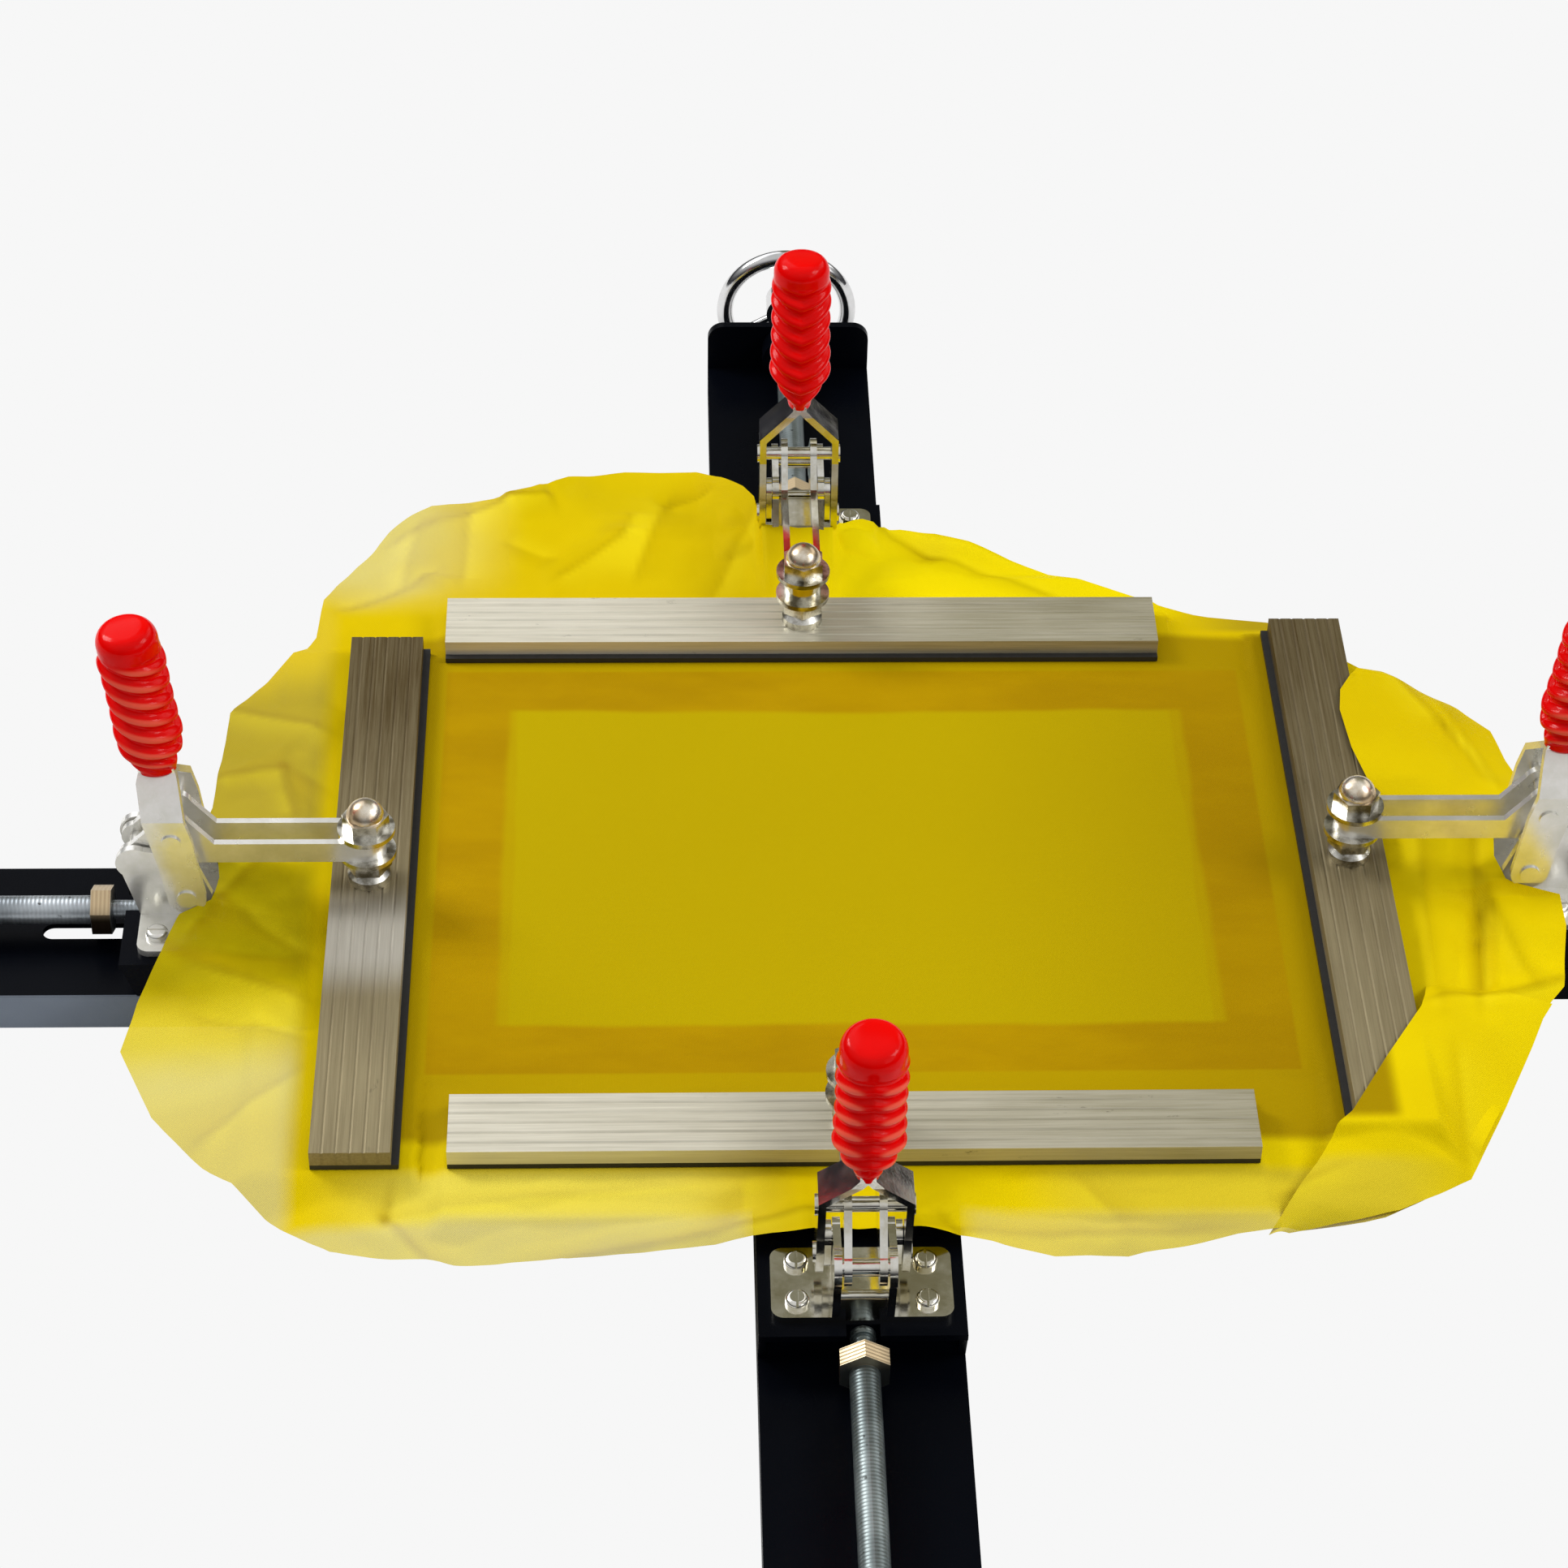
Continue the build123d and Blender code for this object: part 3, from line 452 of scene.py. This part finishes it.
for name, piece in nodes.items():
    if name.endswith(("_arm", "carriage", "lower_jaw", "clamp_base", "handle", "link", "jaw_bar")):
        soften(piece, 0.0003 if name.endswith("jaw_bar") else 0.0006)


def new_piece(name, points, faces, material, smooth=True):
    """A mesh object from points in millimetres."""
    mesh = bpy.data.meshes.new(name)
    mesh.from_pydata([Vector(point) * MM for point in points], [], faces)
    mesh.update()
    mesh.materials.append(material)
    piece = bpy.data.objects.new(name, mesh)
    bpy.context.scene.collection.objects.link(piece)
    for face in mesh.polygons:
        face.use_smooth = smooth
    return piece


# The rows of a patch, the runs over which cloth comes loose past the jaws and in the
# corners, and the width of a crease's line, its spread and the fade at its ends
ROWS = 40
LOOSE_RUN = 14.0
CORNER_RUN = 60.0
CREASE_LINE = 3.4
CREASE_SPREAD = 1.6
CREASE_FADE = 0.25

# The saddle, the clamp base on it and the base's screws, with room for the cloth over them
SADDLE_LEVEL = extent("right_carriage")[1][2] + 1.2
SADDLE_HALF = 42
SADDLE_REACH = 88
BASE_LEVEL = SADDLE_LEVEL + 3
BASE_OUT = 61.6
BASE_HALF = 36.5
BASE_REACH = 20
SCREW_LEVEL = BASE_LEVEL + 3.2
SCREW_ACROSS = 25
SCREW_AHEAD = 10
SCREW_RADIUS = 5.5
JAW_SLOPE = 0.5
SCREW_SLOPE = 0.45

# Straight creases of the loose flaps: two ends, height and width
creases = [
    ((-228, 186), (-193, 213), -3.2, 10), ((-206, 240), (-157, 264), 2.6, 12),
    ((-157, 264), (-140, 269), 3.0, 11), ((-131, 203), (-103, 234), 2.4, 13),
    ((-103, 235), (-99, 252), 1.6, 10), ((-176, 258), (-178, 205), -1.8, 14),
    ((-64, 272), (-82, 262), -2.4, 9), ((-81, 264), (-94, 208), 2.2, 16),
    ((-156, 228), (-136, 216), -1.6, 10), ((-198, 246), (-204, 212), 1.4, 10),
    ((-44, 240), (-62, 190), -1.8, 12), ((8, 250), (40, 225), -3.0, 9),
    ((40, 225), (92, 190), -2.6, 8), ((44, 238), (138, 192), 2.2, 6),
    ((-276, 63), (-250, 69), 2.6, 10), ((-250, 69), (-226, 48), -2.4, 10),
    ((-250, 68), (-243, 38), 2.2, 9), ((-277, 116), (-230, 91), 2.4, 13),
    ((-256, -2), (-278, -42), 3.2, 9), ((-273, -22), (-229, -55), -2.0, 11),
    ((-291, -50), (-227, -81), 2.6, 12), ((-290, -52), (-238, -54), -1.6, 9),
    ((-273, -85), (-228, -103), -2.0, 12), ((-268, -150), (-232, -118), 2.2, 14),
    ((-191, -172), (-194, -198), -3.2, 8), ((-194, -197), (-174, -222), 3.0, 9),
    ((-176, -194), (-54, -181), 1.4, 7), ((-124, -221), (-24, -203), 3.2, 7),
    ((-54, -181), (-57, -206), -1.0, 12), ((23, -204), (33, -222), -2.6, 7),
    ((33, -213), (126, -207), 2.2, 8), ((94, -203), (79, -180), -1.6, 10),
    ((160, -191), (187, -177), 2.4, 9), ((242, 15), (236, -83), 2.4, 7),
    ((265, 15), (253, -80), -2.6, 6), ((262, -30), (257, -72), -4.5, 4),
    ((264, -14), (276, -66), 2.6, 6), ((230, -92), (289, -72), 3.4, 7),
    ((246, 123), (262, 84), 2.4, 11), ((262, 85), (275, 52), -2.2, 9),
    ((265, 99), (281, 46), 1.8, 8), ((236, -124), (234, -180), -1.8, 14),
    ((203, -128), (220, -172), 1.6, 12),
]


def at_creases(x, y):
    """Height of the creases at a point, which side of them faces the light, and their thin lines."""
    rise = 0.0
    facet = 0.0
    line = 0.0
    for (x0, y0), (x1, y1), height, width in creases:
        dx, dy = x1 - x0, y1 - y0
        length = hypot(dx, dy)
        along = ((x - x0) * dx + (y - y0) * dy) / (length * length)
        if -CREASE_FADE < along < 1 + CREASE_FADE:
            signed = ((x - x0) * dy - (y - y0) * dx) / length
            away = abs(signed)
            ends = min(1.0, (along + CREASE_FADE) / CREASE_FADE, (1 + CREASE_FADE - along) / CREASE_FADE)
            reach = width * CREASE_SPREAD
            if away < reach:
                rise += height * ends * (1 - away / reach)
                slope = max(-1.0, min(1.0, signed / CREASE_LINE)) * (1 - away / reach)
                facet += ends * slope * (0.5 if height > 0 else -0.5)
                line += ends * max(0.0, 1 - away / CREASE_LINE) * abs(height) / 7
    return rise, facet, line


def loose(x, y):
    """0 where the cloth is clamped or stretched, 1 a little outside the jaws."""
    past = max(x - JAW_X[1], JAW_X[0] - x, y - JAW_Y[1], JAW_Y[0] - y, 0.0)
    return min(1.0, past / LOOSE_RUN)


def over_corner(x, y):
    """A little looseness in the corners between the jaws' ends."""
    out_x = max(x - STRIP_X[1], STRIP_X[0] - x, 0.0)
    out_y = max(y - STRIP_Y[1], STRIP_Y[0] - y, 0.0)
    return min(1.0, out_x / CORNER_RUN) * min(1.0, out_y / CORNER_RUN)


def relief(x, y, seed=0.0):
    """Height of creases and small wrinkles over the plain shape."""
    free = loose(x, y)
    corner = over_corner(x, y)
    place = Vector((x * 0.021 + seed, y * 0.021, seed))
    # Flat facets with sharp ridges between them, larger and smaller ones
    cells = noise.voronoi(place * 0.6, distance_metric="DISTANCE", exponent=2.5)[0]
    facets = (cells[1] - cells[0]) * -6.0 + 2.0
    fine = noise.noise(place * 4.0) * 0.5
    return free * (at_creases(x, y)[0] + facets + fine) + 0.25 * corner * (1 - free) * facets


def clearance(x, y):
    """The lowest height the cloth may have over frame, jaws, saddles and clamp bases."""
    from_frame = [abs((x, y)[i] - FRAME_PLACE[i]) - FRAME_SIZE[i] / 2 for i in (0, 1)]
    lowest = LEVEL if max(from_frame) < 3 else 0.0
    for name, way in stations.items():
        out = x * way[0] + y * way[1] - (JAW_X[1] if way[0] else JAW_Y[1])
        side = y - spindles[name][1] if way[0] else x - spindles[name][0]
        from_base = out - BASE_OUT
        if out > -JAW_WIDTH - 10:
            past_jaw = max(0.0, out - TRAVEL - 1.5, abs(side) - JAW_HALF - 1)
            lowest = max(lowest, LEVEL - JAW_SLOPE * past_jaw)
        if abs(side) < SADDLE_HALF and 0 < out < SADDLE_REACH:
            lowest = max(lowest, SADDLE_LEVEL)
        if abs(side) < BASE_HALF and abs(from_base) < BASE_REACH:
            lowest = max(lowest, BASE_LEVEL)
            for across in (-SCREW_ACROSS, SCREW_ACROSS):
                for ahead in (-SCREW_AHEAD, SCREW_AHEAD):
                    away = hypot(side - across, from_base - ahead)
                    lowest = max(lowest, SCREW_LEVEL - max(0.0, away - SCREW_RADIUS) * SCREW_SLOPE)
    return lowest


def over_right_bar(x, y):
    """The lowest height of the layers folded over the right bar."""
    away = max(x - JAW_X[1] - 0.5, JAW_BAR_END - 0.5 - y, 0.0)
    return JAW_BAR_TOP + 1.9 - away * 1.3


def patch(
    inner, outer, rows, step=3.0, bulge=1.5, lift=0.0, seed=0.0, floor=clearance, wrinkled=1.0
):
    """Rows of points from an inner line to an outer line, given as pairs of matching points."""
    columns = []
    for number in range(len(inner) - 1):
        ends = [Vector(p) for p in (inner[number], inner[number + 1], outer[number], outer[number + 1])]
        span = max((ends[1] - ends[0]).length, (ends[3] - ends[2]).length)
        count = max(1, round(span / step))
        first = 0 if number == 0 else 1
        for piece in range(first, count + 1):
            share = piece / count
            columns.append((ends[0].lerp(ends[1], share), ends[2].lerp(ends[3], share)))
    points = []
    for start, end in columns:
        for row in range(rows + 1):
            t = row / rows
            x = start.x + (end.x - start.x) * t
            y = start.y + (end.y - start.y) * t
            z = start.z + (end.z - start.z) * t ** bulge + lift * sin(pi * t)
            z += wrinkled * relief(x, y, seed)
            points.append((x, y, max(z, floor(x, y))))
    faces = []
    for column in range(len(columns) - 1):
        for row in range(rows):
            a = column * (rows + 1) + row
            faces.append((a, a + 1, a + rows + 2, a + rows + 1))
    return points, faces


def cloth(name, patches):
    """One sheet from its patches, joined at their common edges, facing up."""
    points = []
    faces = []
    for more, quads in patches:
        start = len(points)
        points.extend(more)
        turn = 0.0
        for quad in quads:
            first, second, last = (Vector(more[quad[corner]]) for corner in (0, 1, 3))
            turn += (second - first).cross(last - first).z
        if turn < 0:
            quads = [quad[::-1] for quad in quads]
        faces.extend(tuple(start + corner for corner in quad) for quad in quads)
    piece = new_piece(name, points, faces, paints["yellow_mesh"])
    weld = piece.modifiers.new("weld", "WELD")
    weld.merge_threshold = 0.00002
    graph = bpy.context.evaluated_depsgraph_get()
    mesh = bpy.data.meshes.new_from_object(piece.evaluated_get(graph))
    piece.modifiers.clear()
    piece.data = mesh
    for face in mesh.polygons:
        face.use_smooth = True
    for word, part in (("facet", 1), ("crease", 2)):
        marks = mesh.attributes.new(word, "FLOAT", "POINT")
        for point in mesh.vertices:
            x, y = point.co.x / MM, point.co.y / MM
            marks.data[point.index].value = loose(x, y) * at_creases(x, y)[part]
    return piece


def level(points):
    """Points of the stretched part."""
    return [(x, y, LEVEL) for x, y in points]


# The outer edge of the loose flaps, in four sides and four corners, each with
# the matching points on the inner line
back_inner = level([
    (-153, 175), (-128, 175), (-102, 175), (-70, 175), (-55, 175), (-44, 175), (-41, 175), (-36, 175),
    (-21, 175), (-6, 175), (-2, 175), (10, 175), (28, 175), (44, 175), (73, 175), (110, 175), (147, 175),
])
back_outer = [
    (-158, 265, 45), (-129, 288, 41), (-102, 294, 40), (-68, 289, 43), (-56, 276, 49),
    (-46, 262, 54), (-41, 252, 56), (-38, 226, 60), (-21, 224, 58), (-5, 226, 59), (-1, 238, 53),
    (10, 242, 50), (28, 243, 46), (44, 237, 45), (73, 223, 43), (99, 207, 43), (135, 187, 44),
]
front_inner = level([
    (-153, -175), (-122, -175), (-65, -175), (-43, -175), (-30, -175), (-24, -175), (-9, -175),
    (6, -175), (12, -175), (30, -175), (67, -175), (96, -175), (147, -175),
])
front_outer = [
    (-166, -221, 41), (-122, -221, 41), (-65, -216, 44), (-43, -215, 51), (-30, -217, 57), (-24, -214, 55),
    (-9, -211, 50), (6, -214, 55), (14, -217, 57), (30, -216, 51), (67, -221, 43), (96, -219, 40),
    (140, -209, 41),
]
left_inner = level([
    (-224, 106), (-224, 79), (-224, 47), (-224, 20), (-224, 8), (-224, 2), (-224, -14), (-224, -30),
    (-224, -38), (-224, -50), (-224, -70), (-224, -94),
])
left_outer = [
    (-277, 112, 41), (-278, 76, 43), (-279, 42, 46), (-284, 14, 50), (-280, 7, 53), (-273, 2, 58),
    (-271, -14, 57), (-273, -30, 58), (-286, -35, 53), (-292, -52, 50), (-301, -76, 45), (-306, -100, 41),
]
right_inner = level([
    (224, 106), (224, 79), (224, 50), (224, 34), (224, 20), (224, 15), (224, -2), (224, -19),
    (224, -24), (224, -40), (224, -62), (224, -94),
])
right_outer = [
    (268, 106, 46), (285, 79, 47), (290, 50, 50), (296, 36, 52), (296, 20, 54), (273, 15, 58),
    (271, -2, 56), (273, -19, 58), (296, -24, 54), (296, -42, 51), (290, -76, 46), (281, -86, 45),
]
corner_patches = [
    (
        [(-153, 175), (-153, 140), (-153, 106), (-188, 106), (-224, 106)],
        [
            (-158, 265, 45), (-192, 266, 42), (-214, 246, 38), (-240, 190, 43), (-242, 160, 42),
            (-262, 134, 42), (-277, 112, 41),
        ],
    ),
    (
        [(147, 175), (147, 140), (147, 106), (186, 106), (224, 106)],
        [
            (135, 187, 44), (164, 177, 44), (198, 172, 44), (216, 152, 45), (229, 137, 46),
            (244, 128, 46), (268, 106, 46),
        ],
    ),
    (
        [(-153, -175), (-153, -134), (-153, -94), (-188, -94), (-224, -94)],
        [
            (-166, -221, 41), (-194, -217, 40), (-216, -212, 39), (-238, -196, 38), (-262, -172, 38),
            (-290, -138, 38), (-306, -100, 41),
        ],
    ),
    (
        [(147, -175), (147, -134), (147, -94), (186, -94), (224, -94)],
        [
            (140, -209, 41), (164, -206, 42), (197, -201, 42), (220, -189, 42), (235, -180, 42),
            (262, -128, 43), (281, -86, 45),
        ],
    ),
]


def spread(line, count):
    """A line of points divided into count equal lengths."""
    line = [Vector(point) for point in line]
    reach = [0.0]
    for a, b in zip(line, line[1:]):
        reach.append(reach[-1] + (b - a).length)
    points = []
    for number in range(count + 1):
        want = reach[-1] * number / count
        place = max(i for i in range(len(line) - 1) if reach[i] <= want + 1e-9)
        share = (want - reach[place]) / (reach[place + 1] - reach[place])
        points.append(tuple(line[place].lerp(line[place + 1], min(1.0, share))))
    return points


def flat_patch(x0, x1, y0, y1):
    """A level part of the sheet."""
    return patch(level([(x0, y0), (x1, y0)]), level([(x0, y1), (x1, y1)]), round((y1 - y0) / 4), 4.0)


centre_patches = [flat_patch(*STRIP_X, *STRIP_Y)]
for inner, outer in corner_patches:
    corner_inner = spread(level(inner[:3]), 12) + spread(level(inner[2:]), 12)[1:]
    centre_patches.append(patch(corner_inner, spread(outer, 24), ROWS))
mesh_pieces = {
    "mesh_middle": cloth("mesh_middle", centre_patches),
    "back": cloth("mesh_back_flap", [
        flat_patch(*STRIP_X, STRIP_Y[1], JAW_Y[1]), patch(back_inner, back_outer, ROWS, 2.5)]),
    "front": cloth("mesh_front_flap", [
        flat_patch(*STRIP_X, JAW_Y[0], STRIP_Y[0]), patch(front_inner, front_outer, ROWS, 2.5)]),
    "left": cloth("mesh_left_flap", [
        flat_patch(JAW_X[0], STRIP_X[0], *STRIP_Y), patch(left_inner, left_outer, ROWS, 2.5)]),
    "right": cloth("mesh_right_flap", [
        flat_patch(STRIP_X[1], JAW_X[1], *STRIP_Y), patch(right_inner, right_outer, ROWS, 2.5)]),
}

# The fold that lies over the near end of the right bar, and the lap on its far half
fold_inner = [
    (232, -76, 49), (229, -88, 56), (226, -97, 59), (208, -126, 59.4), (190, -157, 59.4), (183, -164, 55),
    (174, -178, 51), (163, -194, 48.5), (152, -209, 42.5),
]
fold_outer = [
    (284, -84, 46.5), (279, -92, 46), (272, -108, 45.5), (256, -142, 45), (236, -181, 44.5), (222, -189, 44),
    (205, -198, 44), (186, -203, 43.5), (160, -208.5, 43),
]
lap_inner = [
    (238, 133, 48), (228, 124, 57), (218, 106, 59.4), (216, 92, 59.4), (218, 66, 59.2), (222, 46, 58.8),
    (227, 34, 54), (232, 24, 50),
]
lap_outer = [
    (246, 126, 47.5), (258, 116, 47.5), (272, 104, 48), (284, 88, 49), (287, 66, 51), (291, 50, 52.5),
    (293, 38, 54), (270, 26, 54),
]
near_fold = cloth("mesh_near_fold", [
    patch(fold_inner, fold_outer, 30, 2.5, 1.25, 1.5, 3.0, over_right_bar, 0.5)])
far_lap = cloth("mesh_far_lap", [
    patch(lap_inner, lap_outer, 24, 2.5, 1.2, 1.5, 5.0, over_right_bar, 0.5)])


def on_side(along_x, along_y, way):
    """The point of a station's side, on limits given in x and in y."""
    if way[0]:
        return Vector((along_x[way[0] > 0], 0, LEVEL))
    return Vector((0, along_y[way[1] > 0], LEVEL))


for piece in (*mesh_pieces.values(), near_fold, far_lap):
    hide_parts("mesh")
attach(mesh_pieces["mesh_middle"], "base")
for name, way in stations.items():
    start = on_side(STRIP_X, STRIP_Y, way)
    end = on_side(JAW_X, JAW_Y, way) - JAW_WIDTH * Vector((*way, 0))
    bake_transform(mesh_pieces[name], "base", f"{name}_slide", start * MM, end * MM)
for piece, rim, bar in ((near_fold, (262, -150), (222, -128)), (far_lap, (276, 80), (230, 80))):
    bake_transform(piece)
for name in stations:
    piece = mesh_pieces[name]


# The grip's axis, outward from the spindle and upward, and its size
GRIP_FOOT = (83.6, 118.0)
GRIP_HEAD = (90.4, 192.0)
GRIP_RADIUS = 12.6
GRIP_FOOT_DEPTH = 8.0
GRIP_FOOT_WIDTH = 5.2
GRIP_TAPER = 19.0
GRIP_CAP = 7.0
GRIP_RINGS = 150
GRIP_AROUND = 96
RIB_PITCH = 8.8
RIB_HEIGHT = 1.5
# How strong each grip's painted highlights on the rib crests are: hardly at the back, most in front
CREST_HIGHLIGHT = {"back": 0.1, "front": 1.3, "left": 1.0, "right": 1.0}


def grip_radius(height, length):
    """Half depth and half width of the grip at a height over its foot."""
    share = min(1.0, max(0.0, height / GRIP_TAPER))
    ease = share * share * (3 - 2 * share)
    depth = GRIP_FOOT_DEPTH + (GRIP_RADIUS - GRIP_FOOT_DEPTH) * ease
    width = GRIP_FOOT_WIDTH + (GRIP_RADIUS - GRIP_FOOT_WIDTH) * ease
    above = min(1.0, max(0.0, (height - GRIP_TAPER) / (length - GRIP_TAPER - 11)))
    swell = 1.0 - 0.05 * sin(pi * above)
    left = length - height
    cap = 1.0
    if left < GRIP_CAP:
        cap = sqrt(max(0.0, 1 - max(0.0, 1 - left / GRIP_CAP) ** 2)) * 0.45 + 0.55
    return depth * swell * cap, width * swell * cap


def make_grip(name):
    """A grip with slanting ribs that meet in a chevron at the front and back."""
    foot = Vector((GRIP_FOOT[0], 0, GRIP_FOOT[1]))
    head = Vector((GRIP_HEAD[0], 0, GRIP_HEAD[1]))
    axis = (head - foot).normalized()
    length = (head - foot).length
    depth_way = Vector((axis.z, 0, -axis.x))
    width_way = Vector((0, 1, 0))
    points = []
    crest_highlights = []
    for ring in range(GRIP_RINGS + 1):
        height = length * ring / GRIP_RINGS
        depth, width = grip_radius(height, length)
        fade = min(1.0, height / 8.0) * min(1.0, max(0.0, (length - 10 - height) / 5.0))
        for step in range(GRIP_AROUND):
            turn = 2 * pi * step / GRIP_AROUND
            chevron = abs(atan2(sin(turn), cos(turn))) / pi
            wave = sin(2 * pi * (height / RIB_PITCH - 1.5 * chevron))
            rib = fade * RIB_HEIGHT * (abs(wave) ** 0.7 * (1 if wave > 0 else -1))
            across = (depth + rib) * -cos(turn)
            aside = (width + rib) * sin(turn)
            points.append(foot + axis * height + depth_way * across + width_way * aside)
            # The front grip's painted highlights lie between its middle and its sides, the others' at the
            # sides
            painted_light_amount = sin((2 if name == "front" else 1) * turn) ** 2
            crest_highlights.append(CREST_HIGHLIGHT[name] * fade * max(0.0, wave) * painted_light_amount)
    faces = []
    for ring in range(GRIP_RINGS):
        for step in range(GRIP_AROUND):
            a = ring * GRIP_AROUND + step
            b = ring * GRIP_AROUND + (step + 1) % GRIP_AROUND
            faces.append((a, b, b + GRIP_AROUND, a + GRIP_AROUND))
    bottom = len(points)
    points.append(foot)
    top = len(points)
    points.append(head)
    last = GRIP_RINGS * GRIP_AROUND
    for step in range(GRIP_AROUND):
        faces.append((bottom, (step + 1) % GRIP_AROUND, step))
        faces.append((top, last + step, last + (step + 1) % GRIP_AROUND))
    way_x, way_y = stations[name]
    middle_x, middle_y = spindles[name]
    placed = []
    for out, side, height in points:
        x = middle_x + way_x * out - way_y * side
        y = middle_y + way_y * out + way_x * side
        placed.append((x, y, height))
    piece = new_piece(f"{name}_ribbed_grip", placed, faces, paints["red_grip"])
    marks = piece.data.attributes.new("crest_highlight", "FLOAT", "POINT")
    for number, crest_highlight in enumerate(crest_highlights):
        marks.data[number].value = crest_highlight
    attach(piece, f"{name}_lever")
    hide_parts(f"{name}_grip")
    return piece


for name in stations:
    make_grip(name)


def background():
    """White to the camera; a soft bright sky with darker sides for the reflections."""
    world = bpy.data.worlds.new("studio")
    bpy.context.scene.world = world
    world.use_nodes = True
    tree = world.node_tree
    shader = tree.nodes["Background"]
    way = Value(tree.nodes.new("ShaderNodeTexCoord").outputs["Generated"])
    axes = tree.nodes.new("ShaderNodeSeparateXYZ")
    tree.links.new(way.socket, axes.inputs[0])
    x, y, z = [Value(out) for out in axes.outputs]
    sky = z.ramp(0.05, 0.75).mix((0.015, 0.015, 0.02, 1), (0.62, 0.62, 0.62, 1))
    behind = z.between(0.25, 0.80, 0.05) * y.ramp(0.35, 0.55) * x.ramp(-0.12, -0.06)
    left = z.between(0.45, 0.88, 0.03) * x.between(-0.8, -0.10, 0.02) * y.ramp(0.0, 0.2)
    right = z.between(0.3, 0.62, 0.03) * x.between(0.5, 0.85, 0.04)
    sky = behind.mix(sky, (0.20, 0.19, 0.13, 1))
    sky = left.mix(sky, (1.3, 1.3, 1.32, 1))
    sky = right.mix(sky, (1.5, 1.5, 1.5, 1))
    rays = Value(tree.nodes.new("ShaderNodeLightPath").outputs["Is Camera Ray"])
    pale = (0.93, 0.93, 0.93, 1)
    tree.links.new(rays.mix(sky, pale).socket, shader.inputs["Color"])
    shader.inputs["Strength"].default_value = 1.0


background()


def studio_floor():
    """A large pale floor, as bright as the background to the camera."""
    made = bpy.data.materials.new("floor")
    made.use_nodes = True
    tree = made.node_tree
    shader = tree.nodes["Principled BSDF"]
    shader.inputs["Base Color"].default_value = (0.8, 0.8, 0.8, 1)
    shader.inputs["Roughness"].default_value = 0.9
    shader.inputs["Specular IOR Level"].default_value = 0.1
    glow = tree.nodes.new("ShaderNodeEmission")
    glow.inputs["Color"].default_value = (0.93, 0.93, 0.93, 1)
    glow.inputs["Strength"].default_value = 1.0
    rays = tree.nodes.new("ShaderNodeLightPath")
    mixed = tree.nodes.new("ShaderNodeMixShader")
    tree.links.new(rays.outputs["Is Camera Ray"], mixed.inputs[0])
    tree.links.new(shader.outputs[0], mixed.inputs[1])
    tree.links.new(glow.outputs[0], mixed.inputs[2])
    tree.links.new(mixed.outputs[0], tree.nodes["Material Output"].inputs[0])
    size = 3000
    corners = [(-size, -size, -0.5), (size, -size, -0.5), (size, size, -0.5), (-size, size, -0.5)]
    return new_piece("floor", corners, [(0, 1, 2, 3)], made, False)


def lamp(name, place, aim, size, power):
    """A soft square lamp."""
    light = bpy.data.lights.new(name, "AREA")
    light.shape = "SQUARE"
    light.size = size
    light.energy = power
    piece = bpy.data.objects.new(name, light)
    bpy.context.scene.collection.objects.link(piece)
    piece.location = place
    piece.rotation_euler = (Vector(aim) - Vector(place)).to_track_quat("-Z", "Y").to_euler()
    return piece


stage = [
    studio_floor(),
    lamp("soft_left", (-1.5, 0.8, 1.4), (0, 0, 0), 0.7, 20),
    lamp("soft_right", (1.6, -0.3, 1.6), (0, 0, 0.05), 0.8, 14),
]

IMAGE = 1932
SENSOR = 36
FOCAL = 4997.8
CENTRE = (1014.15, 1139.74)
CAMERA_PLACE = (-0.0837, -1.2846, 1.2085)
CAMERA_TURNS = (3.04, 42.84, 1.79)


def camera():
    """The camera that the photo was taken from."""
    yaw, pitch, roll = (radians(value) for value in CAMERA_TURNS)
    ahead = Vector((sin(yaw) * cos(pitch), cos(yaw) * cos(pitch), -sin(pitch)))
    right = Vector((cos(yaw), -sin(yaw), 0))
    up = right.cross(ahead)
    side = right * cos(roll) + up * sin(roll)
    top = up * cos(roll) - right * sin(roll)
    data = bpy.data.cameras.new("camera")
    data.sensor_width = SENSOR
    data.lens = SENSOR * FOCAL / IMAGE
    data.shift_x = (IMAGE / 2 - CENTRE[0]) / IMAGE
    data.shift_y = (CENTRE[1] - IMAGE / 2) / IMAGE
    data.clip_start = 0.05
    data.clip_end = 20
    piece = bpy.data.objects.new("camera", data)
    bpy.context.scene.collection.objects.link(piece)
    turn = Matrix((side, top, -ahead)).transposed().to_4x4()
    piece.matrix_world = Matrix.Translation(CAMERA_PLACE) @ turn
    bpy.context.scene.camera = piece


camera()
bpy.context.scene.view_settings.view_transform = "Standard"
